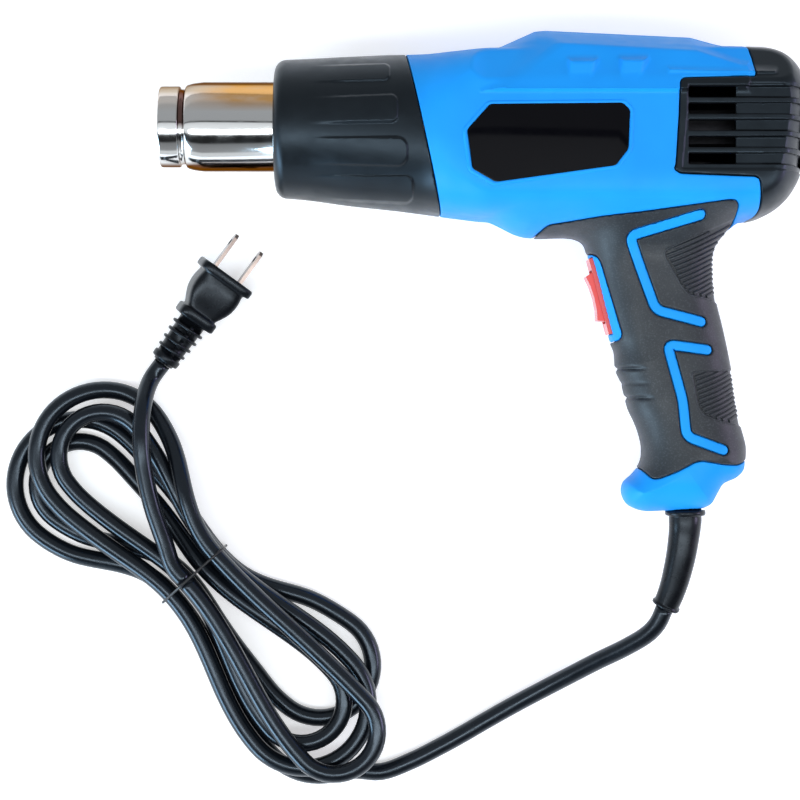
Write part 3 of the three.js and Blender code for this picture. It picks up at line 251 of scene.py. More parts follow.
class Region:
    """Signed distance to a flat outline of the side view, kept on a fine raster."""

    def __init__(self, outline: Sequence, step: float = 0.25, margin: float = 8.0) -> None:
        """Measures the raster.

        Args:
            outline: The closed outline, in the side view's millimetres.
            step: The raster's pitch.
            margin: How far the raster reaches past the outline.
        """
        spots = np.asarray(outline, float)
        self.step = step
        self.low = spots.min(0) - margin
        count = np.ceil((spots.max(0) + margin - self.low) / step).astype(int) + 1
        self.high = self.low + (count - 1) * step
        x, y = np.meshgrid(*(self.low[k] + step * np.arange(count[k]) for k in (0, 1)), indexing="ij")
        nearest = np.full(x.shape, 1e12)
        inside = np.zeros(x.shape, bool)
        for (x0, y0), (x1, y1) in zip(spots, np.roll(spots, -1, 0)):
            ex, ey = x1 - x0, y1 - y0
            t = np.clip(((x - x0) * ex + (y - y0) * ey) / max(ex * ex + ey * ey, 1e-12), 0, 1)
            nearest = np.minimum(nearest, (x - x0 - t * ex) ** 2 + (y - y0 - t * ey) ** 2)
            if abs(ey) > 1e-12:
                inside ^= ((y0 > y) != (y1 > y)) & (x < x0 + (y - y0) / ey * ex)
        self.values = np.where(inside, -1, 1) * np.sqrt(nearest)

    def __call__(self, x: np.ndarray, y: np.ndarray) -> np.ndarray:
        """Reads the distance at points of the side view, negative inside."""
        cx = np.clip(x, self.low[0], self.high[0] - 1e-6)
        cy = np.clip(y, self.low[1], self.high[1] - 1e-6)
        u, v = (cx - self.low[0]) / self.step, (cy - self.low[1]) / self.step
        i = np.minimum(u.astype(int), self.values.shape[0] - 2)
        j = np.minimum(v.astype(int), self.values.shape[1] - 2)
        u, v = u - i, v - j
        near = self.values[i, j] * (1 - u) + self.values[i + 1, j] * u
        far = self.values[i, j + 1] * (1 - u) + self.values[i + 1, j + 1] * u
        return near * (1 - v) + far * v + np.hypot(x - cx, y - cy)


# Surfaces given by a distance

def both(a: np.ndarray, b: np.ndarray, radius: float = 0.0) -> np.ndarray:
    """Distance to what two shapes share, with the new edge rounded to a radius."""
    if radius <= 0:
        return np.maximum(a, b)
    return np.minimum(np.maximum(a, b), -radius) + np.hypot(np.maximum(a + radius, 0),
                                                            np.maximum(b + radius, 0))


def either(a: np.ndarray, b: np.ndarray, radius: float = 0.0) -> np.ndarray:
    """Distance to two shapes joined, with the new corner filled to a radius."""
    return -both(-a, -b, radius)


def rise(value: np.ndarray, start: float, end: float) -> np.ndarray:
    """Eases from 0 at start to 1 at end."""
    share = np.clip((value - start) / (end - start), 0, 1)
    return share * share * (3 - 2 * share)


def slope_of(shape: Field, points: Points, reach: float) -> Points:
    """Measures a distance's slope at points by central differences."""
    out = np.empty_like(points)
    for k in range(3):
        offset = np.zeros(3)
        offset[k] = reach
        out[:, k] = (shape(points + offset) - shape(points - offset)) / (2 * reach)
    return out


def carved(shape: Field, low: Sequence, high: Sequence, voxel: float) -> tuple[Points, np.ndarray, Points]:
    """Meshes the surface where a distance is zero.

    Cells far from the surface are skipped, and the corners are then moved onto the exact surface.

    Args:
        shape: The distance, negative inside.
        low: Lowest corner of the space searched.
        high: Highest corner of the space searched.
        voxel: The mesh's pitch.

    Returns:
        The corners, the four-sided faces and a normal for each corner.
    """
    cell = 6
    low = np.asarray(low, float) - 2 * voxel
    blocks = np.ceil((np.asarray(high, float) + 2 * voxel - low) / (voxel * cell)).astype(int)
    centres = [low[k] + voxel * (cell * np.arange(blocks[k]) + (cell - 1) / 2) for k in range(3)]
    spots = np.stack(np.meshgrid(*centres, indexing="ij"), -1).reshape(-1, 3)
    rough = shape(spots)
    near = np.abs(rough) < voxel * cell * 1.05 + 1.5
    inner = voxel * (np.arange(cell) - (cell - 1) / 2)
    offsets = np.stack(np.meshgrid(inner, inner, inner, indexing="ij"), -1).reshape(-1, 3)
    dense = np.repeat(rough[:, None], cell ** 3, 1)
    chosen = np.flatnonzero(near)
    for part in np.array_split(chosen, max(len(chosen) // 1500, 1)):
        dense[part] = shape((spots[part][:, None, :] + offsets).reshape(-1, 3)).reshape(len(part), -1)
    dense = dense.reshape(*blocks, cell, cell, cell).transpose(0, 3, 1, 4, 2, 5)
    dense = dense.reshape(*(blocks * cell)).astype(np.float32)
    grid = openvdb.FloatGrid(float(dense.max()) + 1)
    grid.copyFromArray(dense)
    points, faces = grid.convertToQuads(isovalue=0.0)
    points = low + np.asarray(points, float) * voxel
    faces = np.asarray(faces, np.int64)
    reach = 0.03
    for _ in range(3):
        value = shape(points)
        slope = slope_of(shape, points, reach)
        step = (value / np.maximum((slope ** 2).sum(1), 0.2))[:, None] * slope
        size = np.linalg.norm(step, axis=1)[:, None]
        points = points - step * np.minimum(1, 0.5 * voxel / np.maximum(size, 1e-9))
    normals = slope_of(shape, points, 0.1)
    normals /= np.maximum(np.linalg.norm(normals, axis=1)[:, None], 1e-9)
    a, b, c, d = (points[faces[:, k]] for k in range(4))
    facing = np.cross(c - a, d - b)
    if ((facing * normals[faces[:, 0]]).sum(1)).mean() < 0:
        faces = faces[:, ::-1]
    return points, faces, normals


class Pitch(Enum):
    """Mesh pitches of the carved pieces, in millimetres."""

    QUICK = 1.2
    FULL = 0.62


# Tubes and rings

def circle(sides: int) -> tuple[np.ndarray, np.ndarray]:
    """Cosines and sines of even steps round a full turn."""
    turns = 2 * np.pi * np.arange(sides) / sides
    return np.cos(turns), np.sin(turns)


def lathed(profile: Sequence, sides: int) -> Points:
    """Turns a profile of places and radii round the X axis, ring by ring."""
    c, s = circle(sides)
    return np.vstack([np.stack([np.full(sides, x), r * c, r * s], 1) for x, r in profile])


def ring_faces(rings: int, sides: int) -> list:
    """Faces between rings of points."""
    return [[r * sides + k, r * sides + (k + 1) % sides, (r + 1) * sides + (k + 1) % sides,
             (r + 1) * sides + k] for r in range(rings - 1) for k in range(sides)]


def capped_faces(rings: int, sides: int) -> list:
    """Faces between rings of points, with a cap on each end."""
    last = rings * sides - 1
    return ring_faces(rings, sides) + [list(range(sides)), [last - k for k in range(sides)]]


def tube_mesh(path: Points, radii: float | Sequence, sides: int = 20,
              round_ends: bool = False) -> tuple[Points, list]:
    """Sweeps a round section along a path without twist.

    Args:
        path: The centreline.
        radii: One radius, or one for each point.
        sides: Sides of the section.
        round_ends: Whether the caps are slightly domed.

    Returns:
        Corners and faces of a closed tube.
    """
    path = np.asarray(path, float)
    radii = np.broadcast_to(radii, len(path))
    along = unit(np.gradient(path, axis=0))
    side = np.cross([0, 0, 1.0], along[0])
    if np.linalg.norm(side) < 0.1:
        side = np.cross([0, 1.0, 0], along[0])
    c, s = circle(sides)
    rings = []
    for here, way, radius in zip(path, along, radii):
        side = unit(side - way * side.dot(way))
        up = np.cross(way, side)
        rings.append(here + radius * (c[:, None] * side + s[:, None] * up))
    faces = ring_faces(len(path), sides)
    dome = 0.3 * radii[0] if round_ends else 0.0
    points = np.vstack([*rings, path[0] - along[0] * dome, path[-1] + along[-1] * dome])
    start, end, last = len(points) - 2, len(points) - 1, (len(path) - 1) * sides
    faces += [[start, (k + 1) % sides, k] for k in range(sides)]
    faces += [[end, last + k, last + (k + 1) % sides] for k in range(sides)]
    return points, faces


def outward(made: bpy.types.Object) -> bpy.types.Object:
    """Turns a closed piece's faces outwards, with doubles merged first."""
    shell = bmesh.new()
    shell.from_mesh(made.data)
    bmesh.ops.remove_doubles(shell, verts=shell.verts, dist=1e-6)
    bmesh.ops.recalc_face_normals(shell, faces=shell.faces)
    shell.to_mesh(made.data)
    shell.free()
    return made


# Node trees

class Tree:
    """A node tree while it is being made."""

    def __init__(self, tree: bpy.types.NodeTree) -> None:
        """Starts from a tree that Blender has made."""
        self.nodes, self.links = tree.nodes, tree.links

    def add(self, kind: str, **values: object) -> bpy.types.Node:
        """Adds a node and sets its properties and inputs.

        Args:
            kind: The node's type; a shader node's goes without its prefix.
            values: Properties by name, inputs by name with spaces as underscores, or a link's source.

        Returns:
            The new node.
        """
        node = self.nodes.new(kind if kind.startswith("GeometryNode") else "ShaderNode" + kind)
        for name, value in values.items():
            label = name.replace("_", " ")
            if label in node.inputs or name in node.inputs:
                self.feed(node.inputs[label if label in node.inputs else name], value)
            else:
                setattr(node, name, value)
        return node

    def feed(self, socket: bpy.types.NodeSocket, value: object) -> None:
        """Links a source to a socket, or sets the socket's value."""
        if isinstance(value, bpy.types.NodeSocket):
            self.links.new(value, socket)
        else:
            socket.default_value = value

    def between(self, value: bpy.types.NodeSocket, low: float, high: float,
                start: float = 0.3, end: float = 0.7) -> bpy.types.NodeSocket:
        """Maps a value's range onto another."""
        return self.add("MapRange", Value=value, From_Min=start, From_Max=end, To_Min=low,
                        To_Max=high).outputs["Result"]

    def blend(self, share: object, one: object, two: object) -> bpy.types.NodeSocket:
        """Mixes two colours."""
        made = self.add("Mix", data_type="RGBA")
        self.feed(made.inputs["Factor"], share)
        self.feed(made.inputs[6], one)
        self.feed(made.inputs[7], two)
        return made.outputs[2]

    def math(self, operation: str, one: object, two: object, clamp: bool = False) -> bpy.types.NodeSocket:
        """Joins two sockets or numbers by a sum."""
        made = self.add("Math", operation=operation, use_clamp=clamp)
        self.feed(made.inputs[0], one)
        self.feed(made.inputs[1], two)
        return made.outputs[0]


class Grower(Tree):
    """A Geometry Nodes tree while it is being made."""

    def __init__(self, name: str, **kinds: str) -> None:
        """Starts a tree.

        Args:
            name: The tree's name.
            kinds: Kinds of its inputs by name, with spaces as underscores.
        """
        self.group = bpy.data.node_groups.new(name, "GeometryNodeTree")
        super().__init__(self.group)
        for label, kind in {"Geometry": "Geometry", **kinds}.items():
            self.group.interface.new_socket(label.replace("_", " "), in_out="INPUT",
                                            socket_type="NodeSocket" + kind)
        self.group.interface.new_socket("Geometry", in_out="OUTPUT", socket_type="NodeSocketGeometry")
        self.given = self.nodes.new("NodeGroupInput").outputs

    def finish(self, shape: bpy.types.NodeSocket) -> bpy.types.NodeTree:
        """Ends the tree in real geometry."""
        real = self.add("GeometryNodeRealizeInstances", Geometry=shape)
        smooth = self.add("GeometryNodeSetShadeSmooth", Geometry=real.outputs[0])
        self.feed(self.nodes.new("NodeGroupOutput").inputs[0], smooth.outputs[0])
        return self.group


def bead_tree() -> bpy.types.NodeTree:
    """Builds the tree that sweeps a round bead along every line of a piece."""
    g = Grower("beads_on_lines", Radius="Float", Sides="Int")
    line = g.add("GeometryNodeMeshToCurve", Mesh=g.given["Geometry"])
    ring = g.add("GeometryNodeCurvePrimitiveCircle", Resolution=g.given["Sides"], Radius=g.given["Radius"])
    bead = g.add("GeometryNodeCurveToMesh", Curve=line.outputs[0], Profile_Curve=ring.outputs[0],
                 Fill_Caps=True)
    return g.finish(bead.outputs[0])


def row_tree() -> bpy.types.NodeTree:
    """Builds the tree that sets one shape on every point of a row, shrinking evenly along it."""
    g = Grower("shapes_in_a_row", Shape="Object", Turn="Rotation", Count="Int", Last_Size="Float")
    shape = g.add("GeometryNodeObjectInfo", Object=g.given["Shape"], transform_space="ORIGINAL")
    last = g.math("SUBTRACT", g.given["Count"], 1.0)
    step = g.add("MapRange", Value=g.add("GeometryNodeInputIndex").outputs[0], From_Max=last, To_Min=1.0,
                 To_Max=g.given["Last Size"])
    size = g.add("CombineXYZ", X=1.0, Y=step.outputs[0], Z=step.outputs[0])
    row = g.add("GeometryNodeInstanceOnPoints", Points=g.given["Geometry"],
                Instance=shape.outputs["Geometry"], Rotation=g.given["Turn"], Scale=size.outputs[0])
    return g.finish(row.outputs[0])


def grown(name: str, base: bpy.types.Object, tree: bpy.types.NodeTree, **sizes: object) -> bpy.types.Object:
    """Runs a tree on a base piece and keeps the result as a plain mesh.

    Args:
        name: The new piece's name.
        base: The lines or points that the tree starts from, deleted afterwards.
        tree: The tree.
        sizes: The tree's inputs by name, with spaces as underscores.

    Returns:
        The new piece.
    """
    modifier = base.modifiers.new("grow", "NODES")
    modifier.node_group = tree
    for item in tree.interface.items_tree:
        key = item.name.replace(" ", "_")
        if item.item_type == "SOCKET" and item.in_out == "INPUT" and key in sizes:
            modifier[item.identifier] = sizes[key]
    graph = bpy.context.evaluated_depsgraph_get()
    mesh = bpy.data.meshes.new_from_object(base.evaluated_get(graph), depsgraph=graph)
    base.modifiers.remove(modifier)
    bpy.data.objects.remove(base)
    return outward(linked(name, mesh))


def line_object(name: str, lines: Sequence, datum: Datum = Datum.GUN) -> bpy.types.Object:
    """Makes an object of bare lines in the drawing's millimetres; one-point lines are lone points."""
    points, edges = [], []
    for line in lines:
        first = len(points)
        points += [tuple(spot) for spot in placed(line, datum)]
        edges += [(first + k, first + k + 1) for k in range(len(line) - 1)]
    return plain_object(name, points, edges)


# Finishes

class Graph(Tree):
    """A material while it is being made."""

    def __init__(self, name: str) -> None:
        """Starts a material with a plain Principled shader."""
        self.material = bpy.data.materials.new(name)
        self.material.use_nodes = True
        super().__init__(self.material.node_tree)
        self.shader = self.nodes["Principled BSDF"]
        self.place = self.add("TexCoord").outputs["Object"]

    def set(self, **values: object) -> None:
        """Sets or links inputs of the shader by name."""
        for name, value in values.items():
            self.feed(self.shader.inputs[name.replace("_", " ")], value)

    def noise(self, size: float, detail: float = 3.0, stretch: Sequence = (1, 1, 1),
              roughness: float = 0.5) -> bpy.types.NodeSocket:
        """Noise whose features are about a size across, in millimetres, stretched along axes."""
        where = self.add("Mapping", Vector=self.place, Scale=[1 / s for s in stretch]).outputs[0]
        made = self.add("TexNoise", Vector=where, Scale=1 / (size * MM), Detail=detail, Roughness=roughness)
        return made.outputs["Fac"]

    def ramp(self, axis: str, span: Pair, low: float = 0.0, high: float = 1.0) -> bpy.types.NodeSocket:
        """Runs from low to high between two places on an axis of the gun's drawing."""
        shift = frame_shift(Datum.GUN)["XYZ".index(axis)]
        place = self.add("SeparateXYZ", Vector=self.place).outputs[axis]
        return self.between(place, low, high, (span[0] + shift) * MM, (span[1] + shift) * MM)

    def product(self, *shares: bpy.types.NodeSocket) -> bpy.types.NodeSocket:
        """Multiplies shares, kept between 0 and 1."""
        out = shares[0]
        for share in shares[1:]:
            out = self.math("MULTIPLY", out, share, True)
        return out

    def bump(self, height: bpy.types.NodeSocket, depth: float) -> bpy.types.NodeSocket:
        """Turns a height into a normal, with the depth in millimetres."""
        return self.add("Bump", Strength=1.0, Distance=depth * MM, Height=height).outputs["Normal"]


def colour(red: float, green: float, blue: float) -> tuple:
    """Adds full opacity to a linear colour."""
    return (red, green, blue, 1.0)


@dataclass(frozen=True)
class Plastic:
    """A moulded plastic or rubber, with a fine grain and slow tone changes."""

    name: str
    base: tuple
    shade: tuple
    roughness: float
    grain: float = 0.35
    depth: float = 0.012
    spread: float = 0.06
    coat: float = 0.0
    sheen: float = 0.0
    sheen_tint: tuple = (0.8, 0.7, 1.0)
    speckle: float = 0.0
    specular: float = 0.5
    tint: tuple = (1.0, 1.0, 1.0)

    def build(self) -> bpy.types.Material:
        """Makes the material."""
        g = Graph(self.name)
        slow = g.noise(22, 2.0)
        tone = g.blend(g.between(slow, 0, 1), colour(*self.base), colour(*self.shade))
        fine = g.noise(self.grain, 3.0, roughness=0.6)
        if self.speckle > 0:
            specks = g.between(g.noise(self.grain * 1.6, 1.0), 0, self.speckle, 0.52, 0.72)
            tone = g.blend(specks, tone, colour(*(min(1, 3.2 * v + 0.02) for v in self.base)))
        rough = g.between(g.noise(6, 4.0), self.roughness - self.spread, self.roughness + self.spread)
        g.set(Base_Color=tone, Roughness=rough, Normal=g.bump(fine, self.depth))
        g.set(Coat_Weight=self.coat, Coat_Roughness=0.12, Sheen_Weight=self.sheen,
              Sheen_Roughness=0.4, Sheen_Tint=colour(*self.sheen_tint), Specular_IOR_Level=self.specular,
              Specular_Tint=colour(*self.tint))
        return g.material


@dataclass(frozen=True)
class Metal:
    """A metal with fine scratches stretched along an axis."""

    name: str
    base: tuple
    tint: tuple
    roughness: float
    stretch: tuple = (1, 1, 1)
    scratch: float = 0.5
    depth: float = 0.002

    def build(self) -> bpy.types.Material:
        """Makes the material."""
        g = Graph(self.name)
        slow = g.between(g.noise(9, 3.0), 0, 1)
        lines = g.noise(self.scratch, 4.0, self.stretch, 0.65)
        rough = g.between(lines, self.roughness * 0.8, self.roughness * 1.25)
        g.set(Base_Color=g.blend(slow, colour(*self.base), colour(*self.tint)), Metallic=1.0,
              Roughness=rough, Normal=g.bump(lines, self.depth))
        return g.material


@dataclass(frozen=True)
class HeatedSteel:
    """Bright nozzle steel with heat colours towards the body, a painted shade along its upper side, painted
    brown shade on both edges seen from above and painted shade in the collar groove.
    """

    name: str
    base: tuple
    straw: tuple
    # painted shade: brown darkening along both edges of the tube seen from above
    edge_shade_tint: tuple
    # painted shade: grey that darkens the upper side of the tube
    upper_shade_tint: tuple = (0.47, 0.46, 0.41)
    # painted shade: dark brown in the collar groove, on its upper half
    groove_shade_tint: tuple = (0.13, 0.06, 0.05)
    rim: tuple = (0.42, 0.33, 0.27)
    hot: Pair = (-93.0, -76.0)
    upper: Pair = (4.0, 9.0)
    # where the painted shade along the upper side comes in
    upper_shade_band: Pair = (11.0, 13.0)
    # where the painted brown edge shade comes in, mirrored below
    edge: Pair = (15.2, 16.4)
    groove: tuple = (-98.7, -97.8, -96.0, -95.1)
    groove_side: Pair = (-3.0, 0.0)

    def build(self) -> bpy.types.Material:
        """Makes the material; the heat colours follow the barrel axis."""
        g = Graph(self.name)
        patch = g.between(g.noise(7, 3.0, (3, 1, 1)), 0.7, 1.4)
        heat = g.product(g.ramp("Y", self.upper), g.ramp("X", self.hot, 0.25, 1), patch)
        foot = (-self.edge[1], -self.edge[0])
        # mask of the painted shade in the collar groove
        groove = g.product(g.ramp("X", self.groove[:2]), g.ramp("X", self.groove[2:], 0.95, 0),
                           g.ramp("Y", self.groove_side))
        # tone layers: painted upper shade, heat colours, painted brown edge shade above and below, painted
        # groove shade
        tone = colour(*self.base)
        for share, tint in ((g.ramp("Y", self.upper_shade_band), self.upper_shade_tint), (heat, self.straw),
                            (g.ramp("Y", self.edge), self.edge_shade_tint), (g.ramp("Y", foot, 1, 0), self.edge_shade_tint),
                            (groove, self.groove_shade_tint)):
            tone = g.blend(share, tone, colour(*tint))
        rings = g.noise(0.22, 3.0, (1, 40, 40), 0.6)
        rough = g.between(g.noise(5, 4.0), 0.07, 0.15)
        g.set(Base_Color=tone, Metallic=1.0, Roughness=rough, Normal=g.bump(rings, 0.0016),
              Specular_Tint=colour(*self.rim))
        return g.material


FINISHES = (
    Plastic("blue_moulding", (0.010, 0.315, 0.93), (0.012, 0.345, 0.97), 0.48, 0.3, 0.008, 0.05,
            specular=0.22, tint=(0.75, 0.88, 1.0)),
    Plastic("black_moulding", (0.0034, 0.0038, 0.0046), (0.0048, 0.0054, 0.0064), 0.38, 0.4, 0.012,
            specular=0.42, tint=(0.62, 0.82, 1.0)),
    Plastic("grip_rubber", (0.0165, 0.0205, 0.0245), (0.021, 0.0255, 0.030), 0.48, 0.42, 0.034, 0.06,
            sheen=0.05, speckle=0.35, specular=0.42),
    Plastic("gloss_plate", (0.0018, 0.0018, 0.003), (0.0024, 0.0024, 0.0036), 0.08, 1.2, 0.001, 0.03,
            specular=0.13),
    Plastic("red_rocker", (0.80, 0.095, 0.085), (0.86, 0.11, 0.095), 0.3, 0.4, 0.006, 0.05, 0.2),
    Plastic("cord_jacket", (0.0032, 0.0042, 0.0062), (0.0046, 0.006, 0.0086), 0.24, 0.8, 0.01, 0.05,
            specular=0.5, tint=(0.72, 0.86, 1.0)),
    Plastic("relief_rubber", (0.0034, 0.004, 0.0054), (0.0048, 0.0056, 0.0072), 0.27, 0.8, 0.01, 0.06,
            specular=0.28, tint=(0.8, 0.9, 1.0)),
    Plastic("tie_wire", (0.006, 0.006, 0.008), (0.009, 0.009, 0.011), 0.35, 0.3, 0.006),
    Plastic("mica_board", (0.42, 0.32, 0.19), (0.5, 0.4, 0.26), 0.65, 0.8, 0.03, speckle=0.3),
    Plastic("inner_moulding", (0.2, 0.19, 0.16), (0.24, 0.22, 0.18), 0.6, 0.5, 0.02),
    Plastic("dark_moulding", (0.018, 0.018, 0.02), (0.024, 0.024, 0.026), 0.55, 0.5, 0.015),
    Plastic("ferrite", (0.03, 0.03, 0.034), (0.045, 0.044, 0.047), 0.7, 0.5, 0.03, speckle=0.2),
    Plastic("circuit_board", (0.012, 0.11, 0.035), (0.018, 0.14, 0.05), 0.4, 0.9, 0.01),
    Plastic("red_insulation", (0.5, 0.02, 0.02), (0.58, 0.03, 0.03), 0.4, 0.5, 0.008),
    Plastic("black_insulation", (0.012, 0.012, 0.012), (0.02, 0.02, 0.02), 0.4, 0.5, 0.008),
    Metal("zinc_plate", (0.56, 0.57, 0.6), (0.47, 0.48, 0.5), 0.3, (1, 6, 1), 0.4, 0.004),
    # painted shade: the motor's steel is near black so the inside seen through the cap's slots reads as
    # shadow
    Metal("motor_steel", (0.02, 0.02, 0.022), (0.014, 0.014, 0.016), 0.4, (8, 1, 1), 0.4, 0.004),
    Metal("brass", (0.72, 0.49, 0.18), (0.63, 0.41, 0.14), 0.28, (1, 8, 1), 0.4, 0.003),
    Metal("blade_metal", (0.12, 0.093, 0.083), (0.17, 0.135, 0.12), 0.16, (5, 5, 1), 0.35, 0.003),
    Metal("copper_wire", (0.55, 0.2, 0.09), (0.46, 0.16, 0.07), 0.35, (1, 14, 14), 0.5, 0.03),
    Metal("heater_wire", (0.42, 0.33, 0.27), (0.33, 0.25, 0.21), 0.45),
    # its last colour is the painted brown edge shade
    HeatedSteel("nozzle_steel", (0.74, 0.75, 0.75), (0.66, 0.37, 0.14), (0.17, 0.09, 0.06)),
)


class Wardrobe:
    """Builds each finish once and hands it out by name."""

    def __init__(self) -> None:
        """Builds every finish."""
        self.made = {finish.name: finish.build() for finish in FINISHES}

    def settle(self, piece: bpy.types.Object, finish: str, slot: str, *nodes: str) -> bpy.types.Object:
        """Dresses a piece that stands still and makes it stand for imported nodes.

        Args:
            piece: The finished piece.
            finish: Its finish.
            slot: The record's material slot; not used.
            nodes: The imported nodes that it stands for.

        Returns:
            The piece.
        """
        piece.data.materials.clear()
        piece.data.materials.append(self.made[finish])
        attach(piece, "tool")
        if nodes:
            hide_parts(*nodes)
        LOG.info("%s: %d faces", piece.name, len(piece.data.polygons))
        return piece

    def dress_node(self, name: str, finish: str) -> None:
        """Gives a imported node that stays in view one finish."""
        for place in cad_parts[name].material_slots:
            place.material = self.made[finish]


# The gun's outer form

LABEL_OUTLINE = ((17.8, -5.8), (26.8, 4.3), (78.6, 4.8), (81.6, 1.9), (81, -13.3), (75.9, -19.9),
                 (29.2, -26.4), (19.9, -21.1))


@dataclass
class GunForm:
    """The outer surface of the gun that its shells share."""

    # Barrel, from the nose to the tail
    body_stations: tuple = (
        (-60.7, 26.9, -28.9, 28.2, 2.0), (-49.0, 27.4, -29.7, 28.8, 2.0), (-29.0, 28.3, -32.3, 30.6, 2.05),
        (-9.0, 28.9, -34.4, 33.0, 2.2), (0.0, 28.9, -35.5, 34.2, 2.35), (14.0, 29.4, -37.0, 38.0, 3.0),
        (28.0, 29.8, -38.0, 40.2, 3.8), (118.0, 30.4, -38.6, 40.6, 3.8), (138.0, 30.3, -38.3, 41.5, 3.4),
        (170.0, 30.3, -38.3, 42.0, 3.2),
    )
    shroud_start: float = -59.3
    nose_round: float = 4.4
    flank: float = 37.6
    flank_round: float = 2.2
    seam_slope: float = 0.2194
    tail_start: Pair = (133, 0.5)
    tail_end: Pair = (156.2, 1.1)
    tail_order: Pair = (2, 0.5)
    tail_span: Pair = (-22, 18)
    crease: float = 14.0
    shoulder: Pair = (0.58, 0.815)
    shoulder_round: float = 0.7
    shoulder_ahead: float = 7
    shoulder_span: Pair = (4, 26)
    # Spine along the top
    crest: tuple = ((20, 26.5), (46, 38.2), (50, 38.6), (108.6, 35.8), (126, 31.0))
    crown_fall: float = 0.0088
    bevel: tuple = (0.908, 31.2, 0.42, 28, 1.2)
    spine_planes: tuple = (
        (0, 0, 0.38, 24, 0.925, 33.5, 0.8), (-0.322, 30, 0.679, 28.6, 0.659, 20, 1.2),
        (0.251, 108.6, 0.889, 32.3, 0.383, 20, 1.0),
    )
    spine_span: Pair = (24, 128)
    spine_foot: float = 10
    spine_room: Pair = (15, 4)
    spine_blend: float = 1.8
    # Raised blocks at the spine's foot
    blocks: tuple = (
        ((54.6, 9.0), (57.0, 23.0), (70.2, 23.0), (67.2, 9.4)),
        ((74.8, 9.4), (77.4, 23.4), (89.6, 23.4), (86.6, 9.8)),
        ((94.6, 15.0), (95.6, 19.8), (140, 18.6), (140, 15.6)),
    )
    block_side: float = 34.2
    block_slope: float = 0.62
    block_scale: float = 1.177
    block_sink: float = 0.1
    block_round: float = 0.7
    block_inner: float = 26
    block_blend: float = 0.9
    # Handle
    handle: tuple = (
        (28, -20), (30, -36), (35.3, -42.3), (42.3, -45.2), (62.2, -45.6), (66.4, -47.8), (68.2, -52.4),
        (77.4, -87.5), (79.2, -92.1), (79.9, -99.4), (82.2, -104.7), (83.4, -109.4), (85, -115.4),
        (87.5, -120.7), (89.4, -125.9), (90.5, -131.7), (89.8, -137.2), (86.6, -141.7), (82.8, -145.4),
        (82, -149.5), (84.2, -154.2), (90, -156.9), (100, -156.9), (112, -156.6), (118.2, -154.4),
        (121, -149.8), (123.4, -146), (128.6, -143.5), (131.6, -140.3), (132.2, -136), (132.3, -130.6),
        (130, -121.4), (128, -109.7), (126.5, -99.7), (123.3, -83.9), (120.2, -70.8), (119.2, -61),
        (119.2, -54), (120.8, -48.6), (124.6, -43.5), (128, -36), (131, -20),
    )
    handle_half: tuple = ((-28, 28), (-40, 26), (-45, 23.5), (-50, 21), (-56, 19.5), (-70, 18.6),
                          (-108, 18.5), (-131, 19.6), (-145, 20.4), (-158, 18.6))
    handle_edge: float = 19.0
    handle_power: float = 2.3
    root_blend: float = 6.0
    tables: dict = field(default_factory=dict)

    def __post_init__(self) -> None:
        """Samples the stations and measures the outlines of the side view."""
        rows = np.array(self.body_stations)
        fine = np.arange(rows[0, 0] - 6, rows[-1, 0], 0.1)
        for k, name in enumerate(("top", "bottom", "half", "power"), 1):
            values = eased(fine, rows[:, 0], rows[:, k])
            self.tables[name] = (fine, values, np.gradient(values, fine))
        rows = np.array(self.handle_half)[::-1]
        tall = np.arange(-170, -10, 0.25)
        self.tables["handle"] = (tall, eased(tall, rows[:, 0], rows[:, 1]), tall)
        self.handle_region = Region(through(self.handle, 5, True), margin=30)
        self.block_regions = [Region(filleted(outline, 1.5), margin=12) for outline in self.blocks]

    def read(self, name: str, x: np.ndarray, slope: bool = False) -> np.ndarray:
        """Reads a sampled size of the body, or its slope, along the barrel axis."""
        fine, values, slopes = self.tables[name]
        return np.interp(x, fine, slopes if slope else values)

    def barrel(self, p: Points) -> np.ndarray:
        """Distance to the barrel without its spine and handle."""
        x, y, z = p.T
        top, bottom, half, power = (self.read(n, x) for n in ("top", "bottom", "half", "power"))
        middle, tall = (top + bottom) / 2, (top - bottom) / 2
        a, b = np.abs(y - middle) / tall + 1e-9, np.abs(z) / half + 1e-9
        r = (a ** power + b ** power) ** (1 / power)
        ra, rb = (a / r) ** (power - 1), (b / r) ** (power - 1)
        sideways = np.sign(y - middle) * (self.read("top", x, True) + self.read("bottom", x, True)) / 2
        growth = (self.read("top", x, True) - self.read("bottom", x, True)) / 2
        rx = -ra * (sideways + a * growth) / tall - rb * b * self.read("half", x, True) / half
        tail = rise(y, *self.tail_span)
        start, end, order = (size + more * tail
                             for size, more in (self.tail_start, self.tail_end, self.tail_order))
        u = np.maximum(x - start, 0) / (end - start)
        whole = (np.maximum(r, 1e-6) ** order + u ** order) ** (1 / order)
        wr, wu = (r / whole) ** (order - 1), (u / whole) ** (order - 1)
        slope = np.sqrt((wr * ra / tall) ** 2 + (wr * rb / half) ** 2
                        + (wr * rx + wu / (end - start)) ** 2)
        out = (whole - 1) / np.maximum(slope, 0.02)
        out = both(out, self.shroud_start - x, self.nose_round)
        out = both(out, np.abs(z) - self.flank, self.flank_round)
        ahead = self.shoulder_ahead * (1 - rise(x, *self.shoulder_span))
        up, side = self.shoulder
        return both(out, (y - self.crease) * up + (np.abs(z) - self.flank) * side - ahead,
                    self.shoulder_round)

